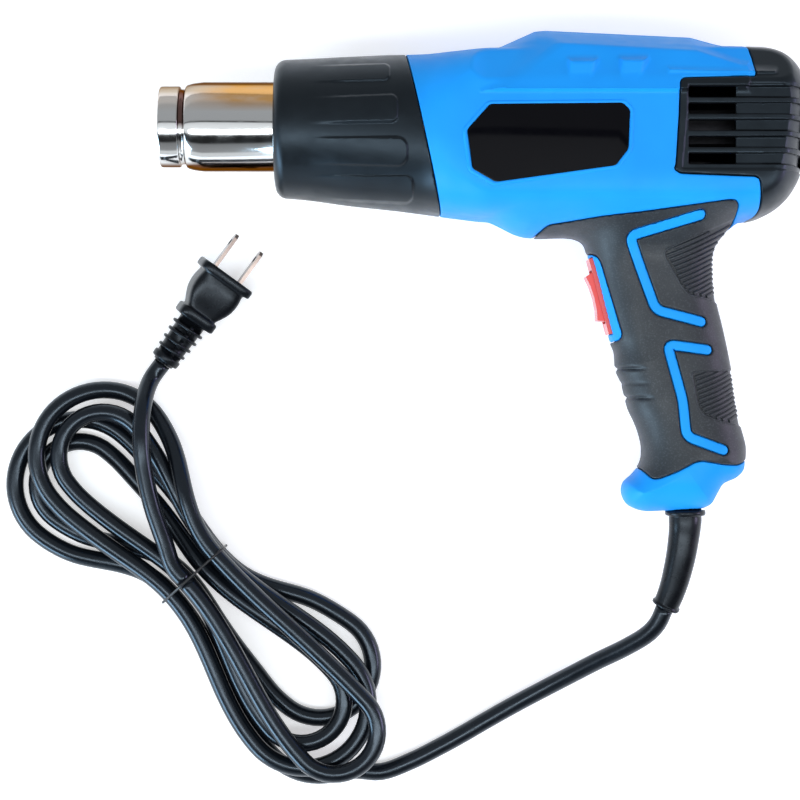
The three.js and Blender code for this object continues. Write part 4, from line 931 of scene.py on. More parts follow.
    def spine(self, p: Points) -> np.ndarray:
        """Distance to the raised spine along the top: crown, side bevel, side, and a ramp at each end."""
        x, y, z = p.T
        side = np.abs(z)
        crest = np.array(self.crest)
        top = np.interp(x, crest[:, 0], crest[:, 1])
        crown = y - top + self.crown_fall * z ** 2
        ny, y0, nz, z0, radius = self.bevel
        out = both(crown, (y - y0 - (top - crest[:, 1].max())) * ny + (side - z0) * nz, radius)
        for nx, x0, ny, y0, nz, z0, radius in self.spine_planes:
            out = both(out, nx * (x - x0) + ny * (y - y0) + nz * (side - z0), radius)
        start, end = self.spine_span
        return both(both(out, start - x), both(x - end, self.spine_foot - y))

    def handle_shape(self, p: Points) -> np.ndarray:
        """Distance to the handle, rounded in from its outline of the side view."""
        x, y, z = p.T
        edge = self.handle_region(x, y)
        half = self.read("handle", y)
        a = np.maximum(1 + edge / self.handle_edge, 0) + 1e-9
        b = np.abs(z) / half + 1e-9
        n = self.handle_power
        r = (a ** n + b ** n) ** (1 / n)
        slope = np.hypot((a / r) ** (n - 1) / self.handle_edge, (b / r) ** (n - 1) / half)
        return (r - 1) / np.maximum(slope, 0.025)

    def outer(self, p: Points) -> np.ndarray:
        """Distance to the whole outer surface, without its details."""
        x, y, z = p.T
        out = self.barrel(p)
        back = (x > self.spine_room[0]) & (y > self.spine_room[1])
        if back.any():
            q = p[back]
            part = either(out[back], self.spine(q), self.spine_blend)
            side = np.abs(q[:, 2])
            for region in self.block_regions:
                slant = (side - self.block_side) * self.block_slope
                raised = both((region(q[:, 0], q[:, 1]) + slant) / self.block_scale,
                              side - self.flank + self.block_sink, self.block_round)
                part = either(part, both(raised, self.block_inner - side), self.block_blend)
            out[back] = part
        low = y < 0
        if low.any():
            out[low] = either(out[low], self.handle_shape(p[low]), self.root_blend)
        return out


def eased(fine: np.ndarray, stops: np.ndarray, values: np.ndarray) -> np.ndarray:
    """Runs a smooth curve through stops without overshoot, flat past its ends."""
    steps = np.diff(stops)
    rates = np.diff(values) / steps
    slopes = np.zeros(len(stops))
    for k in range(1, len(stops) - 1):
        if rates[k - 1] * rates[k] > 0:
            w1, w2 = 2 * steps[k] + steps[k - 1], steps[k] + 2 * steps[k - 1]
            slopes[k] = (w1 + w2) / (w1 / rates[k - 1] + w2 / rates[k])
    slopes[0], slopes[-1] = rates[0], rates[-1]
    spots = np.clip(fine, stops[0], stops[-1])
    k = np.clip(np.searchsorted(stops, spots, "right") - 1, 0, len(steps) - 1)
    t, h = (spots - stops[k]) / steps[k], steps[k]
    low = (2 * t ** 3 - 3 * t ** 2 + 1) * values[k] + (t ** 3 - 2 * t ** 2 + t) * h * slopes[k]
    high = (-2 * t ** 3 + 3 * t ** 2) * values[k + 1] + (t ** 3 - t ** 2) * h * slopes[k + 1]
    return low + high


class Side(Enum):
    """The two half shells."""

    LEFT = 1
    RIGHT = -1


@dataclass
class Shells:
    """Housing halves, nose shroud, rear cap and overmoulded grips."""

    form: GunForm
    wardrobe: Wardrobe
    # Every shell
    wall: float = 4.7
    gap: float = 0.16
    edge: float = 0.55
    slot_edge: float = 0.4
    fine_edge: float = 0.3
    parting: float = 0.08
    reach: float = 39.0
    # Overmould, with its accents, grooves and ribbed patches
    skin: float = 2.0
    core_gap: float = 0.35
    grip_sink: float = 0.25
    grip_zone: tuple = (
        (44.6, -46.6), (50.9, -41.5), (70.7, -38.8), (86.3, -37.2), (121.6, -32.7),
        (123.8, -32.9), (125.2, -34.6), (125.6, -38), (125.4, -43.3), (150, -60), (150, -135.7),
        (133.3, -135.7), (127.5, -137.9), (122, -137.7), (112.6, -136.1), (110, -136.4), (102.8, -140.3),
        (95.8, -143.2), (93, -143.5), (88.7, -139.1), (60, -130), (40, -100), (76.6, -88.6), (80.4, -87.6),
        (81.3, -85.2), (72.8, -56.4), (71.2, -53.4), (68, -52.0), (62, -51.4), (40, -53),
    )
    accents: tuple = (
        ((110.6, -38.2), (83.2, -46.2), (94.0, -75.6), (112.4, -80.3)),
        ((114.8, -91.6), (98.6, -89.4), (104.8, -111.7), (106.2, -126.3), (121.1, -131.8)),
    )
    accent_width: float = 4.2
    patches: tuple = (
        ((97.6, -51.6), (113.4, -44.4), (140, -33), (140, -79), (117.3, -71.5), (107, -69.6),
         (104.4, -66.6), (97.2, -54)),
        ((108.2, -100.4), (123, -99.7), (142, -99), (142, -126), (126.7, -121.6), (121.1, -120.8),
         (113.2, -118), (110.7, -114.3)),
    )
    patch_sink: float = 0.6
    patch_step: Pair = (-0.3, 0.5)
    finger_grooves: tuple = ((-99.0, 1.1), (-105.0, 0.35), (-110.8, 1.0))
    groove_half: float = 0.75
    groove_fades: tuple = ((-11, -4.5), (-112, -98))
    rib_pitch: float = 1.95
    rib_radius: float = 0.8
    rib_sink: float = 0.42
    rib_rise: Pair = (0.32, 0.006)
    rib_margin: float = 1.3
    border_radius: float = 0.42
    halvings: int = 18
    # Rear cap, with its slots
    cap_zone: tuple = (
        (126.5, 60), (128.4, 33), (130.6, 22), (131.2, 15.3), (102.6, 14.6), (101.2, 13.2), (100.9, 1.6),
        (99.6, -19.4), (98.8, -21.2), (101.2, -22.9), (130.8, -24.1), (132.5, -25.2), (134.1, -36.1),
        (133.5, -60), (200, -60), (200, 60),
    )
    cap_wall: float = 3.9
    lap: float = 1.8
    lap_depth: float = 2.2
    cap_inner: tuple = ((104.0, 12.4), (170, 12.4), (170, -21.4), (101.9, -21.2), (103.3, -6), (104.0, 2))
    panel_sink: float = 0.55
    panel_step: Pair = (-0.25, 0.45)
    slot_count: int = 5
    slot_first: float = 9.2
    slot_pitch: float = 6.55
    slot_height: float = 4.3
    slot_front: float = 104.6
    slot_back: float = 123.3
    slot_round: float = 0.6
    slot_start: float = 17.5
    blind_steps: tuple = ((123.3, 1.5), (134.0, 1.1), (141.0, 0.7))
    blind_end: float = 152.0
    # Nose shroud, with its pads
    shroud_mouth: float = 19.6
    mouth_round: float = 0.6
    shroud_wall: float = 2.6
    pads: tuple = (
        ((-60, 22.6), (-14, 23), (-12.2, 21.4), (-12.2, 16.2), (-14, 14.7), (-60, 14.2)),
        ((-60, 8.2), (-11, 9.3), (-9.1, 7.4), (-9.1, -0.8), (-10.8, -2.5), (-60, -2.5)),
        ((-60, -7.2), (-8, -7.8), (-5.2, -10.6), (-5.2, -17), (-7.8, -19.6), (-60, -17.4)),
        ((-60, -21.4), (-5, -22.6), (-2.9, -24.6), (-2.9, -31), (-5, -33), (-60, -29.4)),
    )
    pad_height: float = 0.75
    pad_step: Pair = (-0.2, 0.9)
    pad_fades: tuple = ((-46, -24), (6, 12))
    # Label plates and the lips round them
    plate_depth: float = 1.3
    plate_inset: float = 0.5
    plate_rings: tuple = ((0.0, -1.2), (0.0, 0.1), (0.12, 0.24), (0.35, 0.3))
    lip_radius: float = 1.0
    lip_reach: float = 0.95
    lip_rise: float = 0.4
    # Room for the switch, the strain relief and the screws
    switch_centre: Pair = (72.7, -69.6)
    switch_turn: float = math.radians(194.8)
    switch_half: float = 7.3
    switch_steps: tuple = ((16.15, 1.9), (13.8, 20.0))
    sleeve_place: float = 108.2
    sleeve_steps: tuple = ((7.0, -200.0, -140.0), (8.7, -151.0, -146.0))
    well_radius: float = 3.2
    well_floor: float = 12.0
    recesses: tuple = (
        (58, 31.5), (100, 31.5), (20, -31.5), (52, -38), (118.5, -42), (93, -100), (98, -133),
    )

    def __post_init__(self) -> None:
        """Measures the zones of the side view."""
        self.grip_region = Region(filleted(self.grip_zone, 1.6), margin=20)
        self.cap_region = Region(filleted(self.cap_zone, 1.2), margin=20)
        self.label_region = Region(filleted(LABEL_OUTLINE, 1.2), margin=20)
        self.accent_regions = [Region(strip(line, self.accent_width), margin=20) for line in self.accents]
        self.patch_regions = [Region(filleted(outline, 1.5), margin=12) for outline in self.patches]
        self.pad_regions = [Region(filleted(outline, 2.2), margin=12) for outline in self.pads]
        self.cap_inner_region = Region(filleted(self.cap_inner, 1.0), margin=12)
        self.beads = bead_tree()

    def soft_zone(self, x: np.ndarray, y: np.ndarray) -> np.ndarray:
        """Side-view distance to the overmould with its blue accents left out, negative inside."""
        zone = self.grip_region(x, y)
        for region in self.accent_regions:
            zone = np.maximum(zone, -region(x, y))
        return zone

    def behind_seam(self, p: Points) -> np.ndarray:
        """Distance ahead of the slanted seam, negative behind it."""
        slope = self.form.seam_slope
        return -(p[:, 0] + slope * p[:, 1]) / math.hypot(1, slope)

    def halved(self, out: np.ndarray, p: Points, side: Side) -> np.ndarray:
        """Keeps one side of the mid-plane, with a fine parting groove."""
        return both(out, self.parting - side.value * p[:, 2], self.fine_edge)

    def housing(self, p: Points, side: Side) -> np.ndarray:
        """Distance to a blue half shell."""
        x, y, z = p.T
        outer = self.form.outer(p)
        cavity = outer + self.wall
        shown = both(outer, self.gap - self.soft_zone(x, y), self.edge)
        out = np.minimum(shown, outer + self.skin + self.core_gap)
        cap = self.cap_region(x, y)
        seam = np.maximum(self.gap - cap, -(outer + self.lap_depth))
        out = both(out, np.minimum(seam, self.gap + self.lap - cap), self.edge)
        out = both(out, self.behind_seam(p) + self.gap, self.edge)
        plate = both(self.label_region(x, y) + self.plate_inset,
                     self.form.flank - self.plate_depth - np.abs(z))
        out = both(out, -plate)
        out = both(out, -self.switch_room(p))
        out = np.maximum(out, -cavity)
        out = both(out, -self.sleeve_room(p), self.slot_edge)
        if side is Side.RIGHT:
            for cx, cy in self.recesses:
                well = np.maximum(np.hypot(x - cx, y - cy) - self.well_radius, z + self.well_floor)
                out = both(out, -well, self.fine_edge)
        return self.halved(out, p, side)

    def switch_room(self, p: Points) -> np.ndarray:
        """Distance to the pocket that takes the switch's frame and body."""
        c, s = math.cos(self.switch_turn), math.sin(self.switch_turn)
        dx, dy = p[:, 0] - self.switch_centre[0], p[:, 1] - self.switch_centre[1]
        out_of, along, side = c * dx + s * dy, np.abs(-s * dx + c * dy), np.abs(p[:, 2]) - self.switch_half
        return np.minimum(*(np.maximum(np.maximum(along - half, -deep - out_of), side)
                            for half, deep in self.switch_steps))

    def sleeve_room(self, p: Points) -> np.ndarray:
        """Distance to the stepped hole that takes the strain relief."""
        r = np.hypot(p[:, 0] - self.sleeve_place, p[:, 2])
        return np.minimum(*(np.maximum(np.maximum(r - radius, p[:, 1] - high), low - p[:, 1])
                            for radius, low, high in self.sleeve_steps))

    def grip(self, p: Points, side: Side) -> np.ndarray:
        """Distance to half of the soft overmould."""
        x, y, z = p.T
        base = self.form.outer(p) - self.grip_sink
        outer = base.copy()
        inward, rearward = self.groove_fades
        reach = rise(self.form.handle_region(x, y), *inward) * rise(-x, *rearward)
        for height, depth in self.finger_grooves:
            outer += depth * np.exp(-(((y - height) / self.groove_half) ** 2)) * reach
        for region in self.patch_regions:
            outer += self.patch_sink * rise(-region(x, y), *self.patch_step)
        out = both(outer, self.soft_zone(x, y) + self.gap, self.edge)
        out = np.maximum(out, -(base + self.skin + self.grip_sink))
        if side is Side.RIGHT:
            for cx, cy in self.recesses:
                out = both(out, self.well_radius - np.hypot(x - cx, y - cy), self.fine_edge)
        return self.halved(out, p, side)

    def cap(self, p: Points) -> np.ndarray:
        """Distance to the rear cap with its intake slots."""
        x, y, z = p.T
        outer = self.form.outer(p)
        face = outer + self.panel_sink * rise(-self.cap_inner_region(x, y), *self.panel_step)
        zone = self.cap_region(x, y)
        tongue = np.maximum(zone - self.lap + self.gap, outer + self.lap_depth + self.gap)
        out = both(face, np.minimum(zone + self.gap, tongue), self.edge)
        middle, half = (self.slot_front + self.slot_back) / 2, (self.slot_back - self.slot_front) / 2
        for k in range(self.slot_count):
            across = np.abs(y - self.slot_first + k * self.slot_pitch) - self.slot_height / 2
            along = np.abs(x - middle) - half
            slot = np.maximum(both(across, along, self.slot_round), self.slot_start - np.abs(z))
            out = both(out, -slot, self.slot_edge)
            for start, depth in self.blind_steps:
                ends = both(start - x, x - self.blind_end)
                blind = both(both(across, ends), -(outer + depth + self.panel_sink))
                out = both(out, -blind, self.fine_edge)
        return np.maximum(out, -(outer + self.cap_wall))

    def shroud(self, p: Points) -> np.ndarray:
        """Distance to the nose shroud."""
        x, y, z = p.T
        outer = self.form.outer(p)
        face = outer.copy()
        along, sideways = self.pad_fades
        fade = rise(x, *along) * rise(np.abs(z), *sideways)
        for region in self.pad_regions:
            face -= self.pad_height * rise(-region(x, y), *self.pad_step) * fade
        out = both(face, self.gap - self.behind_seam(p), self.edge)
        out = np.maximum(out, -(outer + self.shroud_wall))
        return both(out, self.shroud_mouth - np.hypot(y, z), self.mouth_round)

    def build(self) -> None:
        """Carves and dresses every shell."""
        for side in Side:
            word = side.name.lower()
            low, high = sorted((0, side.value * self.reach))
            self.carve(f"shell_{word}", partial(self.housing, side=side), (-12, -159, low), (138, 41, high),
                       "blue_moulding", "blue_abs", f"housing_{word}")
            self.carve(f"overmould_{word}", partial(self.grip, side=side), (40, -147, low),
                       (136, -28, high), "grip_rubber", "grip_rubber", f"grip_{word}")
        self.carve("tail_cap", self.cap, (97, -41, -39), (159, 34, 39),
                   "black_moulding", "black_plastic", "rear_cap")
        self.carve("nose_ring", self.shroud, (-62, -38, -36), (10, 32, 36),
                   "black_moulding", "black_plastic", "nose_shroud")
        self.build_labels()
        self.build_ribs()

    def carve(self, name: str, shape: Field, low: Sequence, high: Sequence, *looks: str) -> None:
        """Makes one shell.

        Args:
            name: The piece's name.
            shape: Its distance.
            low: Lowest corner of the space that it fills.
            high: Highest corner of that space.
            looks: Its finish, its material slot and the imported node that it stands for.
        """
        points, faces, normals = carved(shape, low, high, Pitch.FULL.value)
        self.wardrobe.settle(mesh_object(name, points, faces, normals=normals), *looks)

    def build_labels(self) -> None:
        """Makes the bare gloss plates and the raised lips round them."""
        edge = filleted(LABEL_OUTLINE, 1.2)
        way = unit(edge - edge.mean(0))
        for side in Side:
            word = side.name.lower()
            points = [np.column_stack([edge - way * inset,
                                       np.full(len(edge), side.value * (self.form.flank + height))])
                      for inset, height in self.plate_rings]
            faces = capped_faces(len(points), len(edge))
            plate = outward(mesh_object(f"label_face_{word}", np.vstack(points), faces))
            plate.data.shade_smooth()
            plate.data.set_sharp_from_angle(angle=math.radians(20))
            self.wardrobe.settle(plate, "gloss_plate", "gloss_black", f"label_plate_{word}")
            spots = edge + way * self.lip_reach
            height = np.full(len(spots) + 1,
                             side.value * (self.form.flank - self.lip_radius + self.lip_rise))
            lip = spaced(np.column_stack([np.vstack([spots, spots[:1]]), height]), 0.8)
            self.bead(f"label_lip_{word}", [lip], self.lip_radius, 12, "blue_moulding", "blue_abs")

    def build_ribs(self) -> None:
        """Grows the fine ribs and their border lines on the grip's patches."""
        for side in Side:
            word = side.name.lower()
            lines = [line for region, outline in zip(self.patch_regions, self.patches)
                     for line in self.rib_lines(region, outline, side)]
            self.bead(f"grip_ribs_{word}", lines, self.rib_radius, 8, "grip_rubber", "grip_rubber")
            lines = [self.on_grip(rounded_line(outline[4:] + outline[:2], 1.5, 0.6), side, 0.1)
                     for outline in self.patches]
            self.bead(f"grip_borders_{word}", lines, self.border_radius, 8, "grip_rubber", "grip_rubber")

    def bead(self, name: str, lines: list, radius: float, sides: int, finish: str, slot: str) -> None:
        """Grows a round bead along lines.

        Args:
            name: The piece's name.
            lines: The lines in the drawing's millimetres.
            radius: The bead's radius.
            sides: Sides of its section.
            finish: Its finish.
            slot: Its material slot.
        """
        made = grown(name, line_object("bead_lines", lines), self.beads, Sides=sides, Radius=radius * MM)
        self.wardrobe.settle(made, finish, slot)

    def rib_lines(self, region: Region, outline: Sequence, side: Side) -> list:
        """Draws one patch's ribs on the grip, rising to the rear in slight curves."""
        spots = np.asarray(outline, float)
        low, high = spots.min(0), spots.max(0)
        lines = []
        for k in range(int((high[1] - low[1] + 24) / self.rib_pitch)):
            x = np.arange(low[0], 136, 0.5)
            along = x - low[0]
            y = low[1] - 22 + k * self.rib_pitch + self.rib_rise[0] * along + self.rib_rise[1] * along ** 2
            inside = (region(x, y) < -self.rib_radius) & (self.form.handle_region(x, y) < -self.rib_margin)
            if inside.sum() > 5:
                lines.append(self.on_grip(np.column_stack([x, y])[inside], side, self.rib_sink))
        return lines

    def on_grip(self, line: Points, side: Side, sink: float) -> Points:
        """Lays a side-view line on the grip's surface, a little under it."""
        line = np.asarray(line, float)
        low, high = np.zeros(len(line)), np.full(len(line), self.reach)
        for _ in range(self.halvings):
            middle = (low + high) / 2
            value = self.form.outer(np.column_stack([line, middle])) + sink
            inside = value < 0
            low, high = np.where(inside, middle, low), np.where(inside, high, middle)
        return spaced(np.column_stack([line, side.value * low]), 0.7)


@dataclass
class HousingScrews:
    """The seven cross-headed screws that draw the halves together from the right."""

    wardrobe: Wardrobe
    count: int = 7
    head_round: float = 0.7
    head_power: float = 2.4
    head_thick: float = 2.0
    slot_width: float = 0.8
    slot_reach: float = 1.7
    slot_depth: float = 1.1
    slot_edge: float = 0.12
    shank: float = 1.25
    tip: float = 2
    tip_share: float = 0.3
    rings: int = 14
    sides: int = 48

    def shape(self, radius: float, length: float) -> bpy.types.Object:
        """Makes one screw with its head towards -Z and its head's face at the origin."""
        c, s = circle(self.sides)
        points = []
        for r in np.linspace(0.02, radius, self.rings):
            x, y = r * c, r * s
            height = self.head_round * (r / radius) ** self.head_power
            arm_x = both(np.abs(x) - self.slot_reach, np.abs(y) - self.slot_width / 2)
            arm_y = both(np.abs(y) - self.slot_reach, np.abs(x) - self.slot_width / 2)
            cut = self.slot_depth * rise(-np.minimum(arm_x, arm_y), -self.slot_edge, self.slot_edge)
            points.append(np.stack([x, y, height + cut], 1))
        for r, z in ((radius, self.head_thick), (self.shank, self.head_thick),
                     (self.shank, length - self.tip), (self.shank * self.tip_share, length)):
            points.append(np.stack([r * c, r * s, np.full(self.sides, z)], 1))
        faces = capped_faces(len(points), self.sides)
        return outward(plain_object("screw_shape", (np.vstack(points) * MM).tolist(), (), faces))

    def build(self) -> None:
        """Sets a screw in every well."""
        names = [f"housing_screw_{n + 1}" for n in range(self.count)]
        boxes = [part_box(name) for name in names]
        low, high = boxes[0]
        shape = self.shape((high.x - low.x) / 2 / MM, (high.z - low.z) / MM)
        spots = [((a.x + b.x) / 2, (a.y + b.y) / 2, a.z) for a, b in boxes]
        made = grown("shell_screws", plain_object("screw_spots", spots), row_tree(), Shape=shape,
                     Count=len(spots), Last_Size=1.0)
        bpy.data.objects.remove(shape)
        self.wardrobe.settle(made, "zinc_plate", "zinc_steel", *names)


# Cord

CORD_RADIUS = 3.7


@dataclass
class PowerCord:
    """The lead from the strain relief, the tied hank, and the tail that ends in the plug."""

    wardrobe: Wardrobe
    radius: float = CORD_RADIUS
    sides: int = 24
    joint: float = 0.3
    # Lead and tail
    sleeve_end: tuple = (100.7, -196.6, 33.1)
    sleeve_before: tuple = (102.3, -192.7, 34.0)
    lead_stops: tuple = (
        (93.9, -208.4, 29.4), (85.4, -214.4, 24.8), (74.5, -220.7, 18.8), (63.1, -227.6, 12.8),
        (51.8, -234.3, 8), (39.6, -241.3, 5), (27.2, -248.5, 3.9), (17.8, -254, CORD_RADIUS),
        (8.5, -259.1, CORD_RADIUS), (-3.9, -265.3, CORD_RADIUS), (-16.4, -269.8, CORD_RADIUS),
    )
    tail_stops: tuple = (
        (-106.9, -171, 20.3), (-112.2, -155.5, 20.4), (-115.7, -139, 20.5), (-116.6, -127, 20.8),
        (-116.3, -115.5, 18), (-115.2, -107.5, 12.8),
    )
    # Tie
    tie: Pair = (-95.9, -185.7)
    tie_gap: float = 0.9
    tie_radius: float = 0.55
    tie_sides: int = 10
    tie_spots: int = 72
    # Hank: each fold's reach, radius and lean, and where the strands pass the tie
    angle: float = math.radians(-48)
    folds: tuple = (
        (79, 27, 0), (62, 27.6, 10), (66, 22.4, 12), (62, 18.2, 10), (70, 18, -1), (63, 18.6, -5),
        (72, 26.8, -1), (63, 28, -5), (88, 18, 1),
    )
    fold_half: float = 0.125
    passes: tuple = (-12.8, 13.6, -3, 5.5, -3.4, 13.9, -12.2, 13.9, -2.9)
    lean_reach: float = 50
    # Hank: heights over the floor
    climbs: tuple = ((1.65, 1.83), (3.63, 3.7))
    layer: float = 8.1
    lift: float = 0.6
    lift_spread: float = 14
    dip_depth: float = 7
    dip_turn: float = 3.58
    dip_spread: float = 0.05
    # Hank: steps in a turn, and the first and the last of all
    steps: int = 24
    first_step: int = 1
    last_step: int = 102

    def base(self, turn: float) -> tuple[float, float]:
        """Point of a loop: u along the hank and v across it, from the tie."""
        fold = min(math.floor(2 * turn + 0.5), len(self.folds) - 1)
        reach, radius, lean = self.folds[fold]
        way = 1 if fold % 2 == 0 else -1
        past = turn - fold / 2
        if abs(past) <= self.fold_half:
            bend = past / (2 * self.fold_half) * math.pi
            u, v = way * (reach + radius * math.cos(bend)), -way * radius * math.sin(bend)
        else:
            share = (2 * self.fold_half - abs(past)) / self.fold_half
            side = -way * math.copysign(radius, past)
            crossing = self.passes[fold if past > 0 else fold - 1]
            u = way * reach * share
            v = crossing + (side - crossing) * (1 - math.cos(math.pi * share)) / 2
        tilt = math.radians(lean) * (1 - math.cos(math.pi * min(abs(u) / self.lean_reach, 1))) / 2
        c, s = math.cos(tilt), math.sin(tilt)
        return u * c - v * s, u * s + v * c

    def hank_point(self, turn: float) -> np.ndarray:
        """Point of the wound cord, with z from the floor."""
        u, v = self.base(turn)
        layers = sum(float(rise(np.array(turn), start, end)) for start, end in self.climbs)
        dip = self.dip_depth * math.exp(-(((turn - self.dip_turn) / self.dip_spread) ** 2))
        z = self.radius + layers * self.layer + self.lift * math.exp(-((u / self.lift_spread) ** 2)) - dip
        c, s = math.cos(self.angle), math.sin(self.angle)
        return np.array([self.tie[0] + u * c - v * s, self.tie[1] + u * s + v * c, z])

    def hank_path(self, finer: int = 1) -> Points:
        """Points along the hank, with finer steps in each of its own."""
        count = (self.last_step - self.first_step) * finer
        turns = (self.first_step + np.arange(count + 1) / finer) / self.steps
        return np.array([self.hank_point(turn) for turn in turns])

    def build(self) -> None:
        """Makes the cord's three stretches and its tie."""
        hank = self.hank_path(6)
        arrive, away = unit(hank[1] - hank[0]), unit(hank[-1] - hank[-2])
        leave = unit(np.subtract(self.sleeve_end, self.sleeve_before))
        first = np.array(self.sleeve_end) + leave * self.joint
        lead = [first, first + leave * 2 * self.radius, *self.lead_stops,
                hank[0] - arrive * (self.joint + 2.5 * self.radius), hank[0] - arrive * self.joint]
        plug = Plug(self.wardrobe)
        relief = plug.point(-plug.length - self.joint)
        start = hank[-1] + away * self.joint
        tail = [start, start + away * 2 * self.radius, *self.tail_stops,
                relief - plug.axis() * 2 * self.radius, relief]
        plug_pieces = plug.build()
        self.stretch("cord_run_lead", spaced(through(lead, 12), 2.6), "cord_lead", "loose", [])
        tie = self.make_tie()
        self.stretch("cord_run_hank", spaced(hank, 2.8), "cord_hank", "coiled", [tie])
        self.stretch("cord_run_tail", spaced(through(tail, 12), 2.2), "cord_tail", "loose", plug_pieces)

    def stretch(self, name: str, path: Points, node: str, lay: str, others: list) -> None:
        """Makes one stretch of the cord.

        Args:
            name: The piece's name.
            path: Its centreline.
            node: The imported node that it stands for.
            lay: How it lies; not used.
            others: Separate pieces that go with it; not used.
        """
        points, faces = tube_mesh(path, self.radius, self.sides)
        made = outward(mesh_object(name, points, faces, Datum.FLOOR))
        self.wardrobe.settle(made, "cord_jacket", "cord_jacket", node)

    def make_tie(self) -> bpy.types.Object:
        """Makes the thin tie drawn round the strands at the waist."""
        turns = np.arange(0.25, self.last_step / self.steps + 0.01, 0.5)
        passes = np.array([self.hank_point(turn) for turn in turns])
        along = np.array([math.cos(self.angle), math.sin(self.angle), 0])
        across = np.array([-math.sin(self.angle), math.cos(self.angle), 0])
        centre = np.array([*self.tie, 0.0])
        path = []
        for angle in np.linspace(0, 2 * math.pi, self.tie_spots, endpoint=False):
            way = across * math.cos(angle) + np.array([0, 0, math.sin(angle)])
            spot = passes[np.argmax(passes @ way)] + way * (self.radius + self.tie_gap)
            path.append(spot - along * (spot - centre).dot(along))
        points, faces = tube_mesh(path + path[:1], self.tie_radius, self.tie_sides)
        made = outward(mesh_object("hank_tie", points, faces, Datum.FLOOR))
        return self.wardrobe.settle(made, "tie_wire", "gloss_black", "cord_tie")


@dataclass
class Plug:
    """Two-blade plug with a shield-shaped body and a ribbed relief with small bridges."""

    wardrobe: Wardrobe
    place: tuple = (-81.5, -58.4, 9.2)
    turn: float = math.radians(54)
    roll: float = math.radians(20)
    rib_first: float = -28.5
    rib_pitch: float = 3.8
    rib_count: int = 5
    rib_last_size: float = 0.83
    rib_profile: tuple = (
        (-0.7, 4.0), (-0.7, 6.9), (-0.5, 7.3), (-0.2, 7.45), (0.2, 7.45), (0.5, 7.3), (0.7, 6.9),
        (0.7, 4.0), (-0.7, 4.0),
    )
    bridge: tuple = (0.8, 3.5, 6.2)
    sections: tuple = (
        (0, 11.9, 7.2, 6), (-0.35, 12.4, 7.7, 6), (-0.9, 12.6, 8, 6), (-3.0, 12.6, 8, 6),
        (-3.6, 12.3, 7.8, 6), (-4.0, 10.4, 7.1, 6), (-4.6, 10.2, 7.0, 6), (-7.4, 10.6, 7.2, 6),
        (-10, 10.7, 7.2, 6), (-12.6, 10.4, 7.1, 6), (-15, 9.6, 6.9, 6), (-17.3, 8.5, 6.6, 6),
        (-19.4, 7.3, 6.3, 6), (-20.2, 7.2, 6.3, 6), (-20.5, 8.3, 6.9, 5), (-21, 8.8, 7.2, 5),
        (-24.2, 8.8, 7.2, 5), (-24.8, 8.2, 6.6, 5), (-25.1, 5.9, 4.8, 2.4), (-42.4, 5.2, 4.4, 2.4),
        (-42.6, 5.9, 5.9, 2), (-43.0, 6.2, 6.2, 2), (-45.0, 6.1, 6.1, 2), (-45.5, 5.7, 5.7, 2),
        (-45.7, 4.6, 4.6, 2), (-46.45, 4.4, 4.4, 2),
    )
    sides: int = 64
    length: float = 46.45

    def axis(self) -> np.ndarray:
        """Direction of the blades."""
        return np.array([math.cos(self.turn), math.sin(self.turn), 0])

    def point(self, x: float, y: float = 0.0, z: float = 0.0) -> np.ndarray:
        """Place of a point of the plug's own frame, with z from the floor."""
        side = np.array([-math.sin(self.turn), math.cos(self.turn), 0])
        up = np.array([0, 0, 1.0])
        c, s = math.cos(self.roll), math.sin(self.roll)
        return np.array(self.place) + self.axis() * x + side * (y * c - z * s) + up * (y * s + z * c)

    def build(self) -> list:
        """Makes the plug's body, its ribs and its blades."""
        c, s = circle(self.sides)
        rings = []
        for x, half_y, half_z, power in self.sections:
            a = half_y * np.sign(c) * np.abs(c) ** (2 / power)
            b = half_z * np.sign(s) * np.abs(s) ** (2 / power)
            rings.append([self.point(x, u, v) for u, v in zip(a, b)])
        faces = capped_faces(len(rings), self.sides)
        body = outward(mesh_object("plug_shell", np.vstack(rings), faces, Datum.FLOOR))
        self.wardrobe.settle(body, "relief_rubber", "cord_jacket", "plug_body")
        spots = [[self.point(self.rib_first - k * self.rib_pitch)] for k in range(self.rib_count)]
        shape = self.rib_shape()
        ribs = grown("plug_ribs", line_object("rib_spots", spots, Datum.FLOOR), row_tree(), Shape=shape,
                     Count=self.rib_count, Last_Size=self.rib_last_size, Turn=(self.roll, 0.0, self.turn))
        bpy.data.objects.remove(shape)
        self.wardrobe.settle(ribs, "relief_rubber", "cord_jacket")
        for n in (1, 2):
            self.wardrobe.dress_node(f"plug_blade_{n}", "blade_metal")
        return [body, ribs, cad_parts["plug_blade_1"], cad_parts["plug_blade_2"]]

    def rib_shape(self) -> bpy.types.Object:
        """Makes one rib round the X axis, with small bridges above and below that tie it to the next."""
        points = [lathed(self.rib_profile, self.sides)]
        faces = ring_faces(len(self.rib_profile), self.sides)
        half, low, high = self.bridge
        reach = self.rib_pitch / 2 + 0.05
        for sign in (1, -1):
            first = sum(len(rows) for rows in points)
            points.append(np.array([(x, y, sign * z) for x in (-reach, reach) for y in (-half, half)
                                    for z in (low, high)]))
            faces += [[first + k for k in face] for face in ((0, 1, 3, 2), (4, 6, 7, 5), (0, 4, 5, 1),
                                                             (2, 3, 7, 6), (1, 5, 7, 3), (0, 2, 6, 4))]
        return outward(plain_object("rib_shape", (np.vstack(points) * MM).tolist(), (), faces))


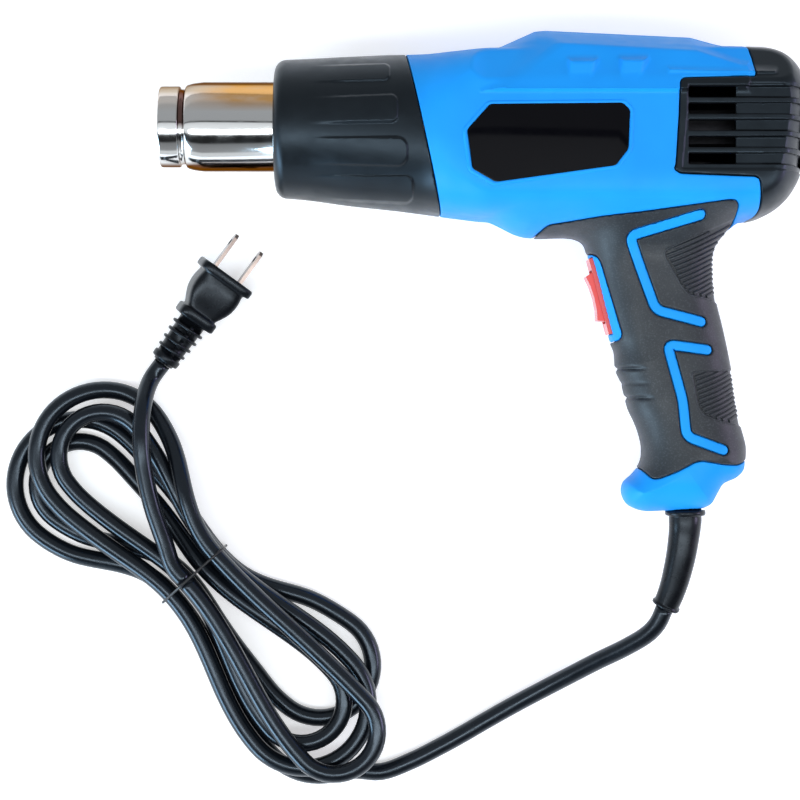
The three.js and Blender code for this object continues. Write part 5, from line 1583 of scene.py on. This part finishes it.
@dataclass
class StrainRelief:
    """The tapered sleeve where the cord leaves the pommel."""

    wardrobe: Wardrobe
    gland: tuple = ((108.2, -153.0, 0, 6.6), (108.2, -156.6, 0, 6.6), (108.2, -156.7, 0, 8.2),
                    (108.2, -158.2, 0, 8.3), (108.2, -158.9, 0, 7.9), (108.2, -159.1, 0, 6.8))
    tail: tuple = ((108.2, -159.3, 0, 6.7), (108.2, -161.5, 0, 6.65),
                   (107.9, -166.1, -0.4, 6.4), (106.6, -175.6, -1.2, 6.1), (104.4, -186, -2.8, 5.7),
                   (102.3, -192.7, -4, 5.4), (101.15, -195.5, -4.62, 5.3))
    lip: tuple = ((101.1, -195.6, -4.65, 5.85), (100.8, -196.4, -4.85, 5.9), (100.7, -196.6, -4.9, 5.6))

    def build(self) -> None:
        """Makes the sleeve."""
        rows = np.vstack([self.gland, through(self.tail, 8), self.lip])
        points, faces = tube_mesh(rows[:, :3], rows[:, 3], 32, True)
        made = outward(mesh_object("relief_sleeve", points, faces))
        self.wardrobe.settle(made, "relief_rubber", "gloss_black", "cord_sleeve")


# Nozzle

@dataclass
class Nozzle:
    """The steel nozzle with its rolled collar, groove and shoulder."""

    wardrobe: Wardrobe
    sides: int = 96
    profile: tuple = (
        (-106.2, 15.7), (-106.2, 16.1), (-105.9, 16.4), (-105.4, 16.5), (-98.6, 16.5), (-98.2, 16.3),
        (-98.0, 15.7), (-97.7, 15.3), (-96.3, 15.3), (-96.0, 15.6), (-95.6, 16.6), (-94.9, 17.1),
        (-92.6, 17.7), (-90, 18.05), (-88.3, 18.2), (1.2, 18.2), (1.2, 24), (2.0, 24),
        (2.0, 17.4), (-88.3, 17.4), (-95.6, 14.8), (-97.9, 14.8), (-106.2, 15.7),
    )

    def build(self) -> None:
        """Makes the lathed tube."""
        faces = ring_faces(len(self.profile), self.sides)
        made = outward(mesh_object("nozzle_barrel", lathed(self.profile, self.sides), faces))
        made.data.shade_smooth()
        self.wardrobe.settle(made, "nozzle_steel", "nozzle_steel", "nozzle_tube")


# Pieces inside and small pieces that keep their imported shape

INSIDE = {
    "zinc_plate": ("tube_flange", "thermal_cutout", "flange_screw_1", "flange_screw_2", "flange_screw_3",
                   "clamp_screw_1", "clamp_screw_2"),
    # near-black steel, a painted shade for the inside behind the cap's slots
    "motor_steel": ("motor_can", "motor_shaft"),
    "brass": ("motor_bush_front", "motor_bush_rear", "commutator",
              *(f"switch_terminal_{n}" for n in range(1, 4))),
    "copper_wire": ("motor_armature",),
    "heater_wire": ("heater_coil",),
    "mica_board": ("mica_sleeve", "heater_core", "heater_base"),
    "ferrite": ("magnet_upper", "magnet_lower"),
    "inner_moulding": ("air_duct", "fan_impeller", "motor_mount"),
    "dark_moulding": ("motor_end_bell", "switch_body", "cord_clamp"),
    "circuit_board": ("rectifier_board",),
    "cord_jacket": ("cord_stub",),
    "red_insulation": ("wire_live",),
    "black_insulation": ("wire_neutral",),
    "red_rocker": ("switch_frame", "switch_rocker"),
}


# Studio

@dataclass(frozen=True)
class Lamp:
    """A soft rectangular lamp, placed in metres from under the camera."""

    name: str
    place: tuple
    width: float
    tall: float
    power: float
    tint: tuple
    ahead: float = 0.1

    def build(self, x: float, y: float) -> None:
        """Hangs the lamp, turned to the tool.

        Args:
            x: The camera's place along X, in metres.
            y: The camera's place along Y, in metres.
        """
        data = bpy.data.lights.new(self.name, "AREA")
        data.color, data.energy = self.tint, self.power
        data.shape, data.size, data.size_y = "RECTANGLE", self.width, self.tall
        made = linked(self.name, data)
        made.location = (x + self.place[0], y + self.place[1], self.place[2])
        way = Vector((x, y + self.ahead, 0)) - made.location
        made.rotation_euler = way.to_track_quat("-Z", "Y").to_euler()


@dataclass
class Studio:
    """Camera, floor, soft lamps and the room round them."""

    aim: Pair = (-8.5, -111.7)
    camera_height: float = 900.0
    lens: float = 94.78
    floor_half: float = 3.0
    floor_tint: tuple = (0.86, 0.86, 0.87)
    glow: float = 0.5
    lamps: tuple = (
        Lamp("lamp_strip", (0, -0.29, 1.15), 2.0, 0.2, 10.0, (0.9, 0.96, 1.0)),
        Lamp("lamp_left", (-1.15, -0.85, 0.32), 1.1, 0.5, 22.0, (0.55, 0.79, 1.0)),
        Lamp("lamp_right", (1.25, 0.05, 0.34), 0.6, 0.35, 5.0, (0.84, 0.68, 1.0)),
    )
    panels: tuple = (
        (-150, 0.5), (-116, 0.35), (-111, 0.1), (-104, 0.1), (-99, 0.75), (-80, 0.85), (-76, 0.35),
        (-54, 0.25), (-49, 0.02), (-30, 0.02), (-27, 0.85), (-20, 1.0), (-6, 1.0), (4.5, 0.85), (5.5, 0.08),
        (8.5, 0.08), (9.5, 0.42), (58, 0.44), (70, 0.62), (95, 0.6), (106, 0.2), (150, 0.4),
    )
    panel_tint: tuple = (0.94, 0.97, 1.0)

    def build(self) -> None:
        """Makes the camera, the floor, the lamps and the world."""
        scene = bpy.context.scene
        scene.view_settings.view_transform = "Standard"
        shift = frame_shift(Datum.FLOOR)
        x, y = (self.aim[0] + shift[0]) * MM, (self.aim[1] + shift[1]) * MM
        data = bpy.data.cameras.new("camera")
        data.lens, data.sensor_width = self.lens, 36.0
        data.clip_start, data.clip_end = 0.01, 20.0
        scene.camera = linked("camera", data)
        scene.camera.location = (x, y, self.camera_height * MM)
        self.floor(x, y)
        for lamp in self.lamps:
            lamp.build(x, y)
        self.world()

    def floor(self, x: float, y: float) -> None:
        """Lays the pale floor, which is white to the camera and in reflections and keeps the shadow."""
        corners = [(x + a * self.floor_half, y + b * self.floor_half, 0)
                   for a, b in ((-1, -1), (1, -1), (1, 1), (-1, 1))]
        made = plain_object("floor", corners, (), [(0, 1, 2, 3)])
        g = Graph("floor_paper")
        path = g.add("LightPath").outputs
        seen = g.math("MAXIMUM", path["Is Camera Ray"], path["Is Glossy Ray"])
        seen = g.math("MAXIMUM", seen, path["Is Transmission Ray"])
        g.set(Base_Color=colour(*self.floor_tint), Roughness=0.9, Emission_Color=colour(1, 1, 1),
              Emission_Strength=g.between(seen, 0.0, self.glow, 0, 1))
        made.data.materials.append(g.material)

    def world(self) -> None:
        """Fills the room with soft panels that run along the barrel overhead, white to the camera."""
        world = bpy.data.worlds.new("room")
        world.use_nodes = True
        g = Tree(world.node_tree)
        parts = g.add("SeparateXYZ", Vector=g.add("TexCoord").outputs["Generated"]).outputs
        angle = g.math("ARCTAN2", parts["Y"], parts["Z"])
        ramp = g.add("ValToRGB", Fac=g.between(angle, 0, 1, -math.pi, math.pi))
        stops = ramp.color_ramp.elements
        stops.remove(stops[1])
        for k, (degrees, level) in enumerate(self.panels):
            stop = stops[0] if k == 0 else stops.new(degrees / 360 + 0.5)
            stop.position = degrees / 360 + 0.5
            stop.color = colour(*(level * part for part in self.panel_tint))
        seen = g.add("LightPath").outputs["Is Camera Ray"]
        g.feed(g.nodes["Background"].inputs["Color"], g.blend(seen, ramp.outputs[0], colour(1, 1, 1)))
        bpy.context.scene.world = world


def main() -> None:
    """Builds the object piece by piece."""
    logging.basicConfig(level=logging.INFO, format="%(name)s %(message)s")
    Studio().build()
    wardrobe = Wardrobe()
    for finish, nodes in INSIDE.items():
        for node in nodes:
            wardrobe.dress_node(node, finish)
    PowerCord(wardrobe).build()
    StrainRelief(wardrobe).build()
    Nozzle(wardrobe).build()
    HousingScrews(wardrobe).build()
    Shells(GunForm(), wardrobe).build()


if __name__ == "__main__":
    main()
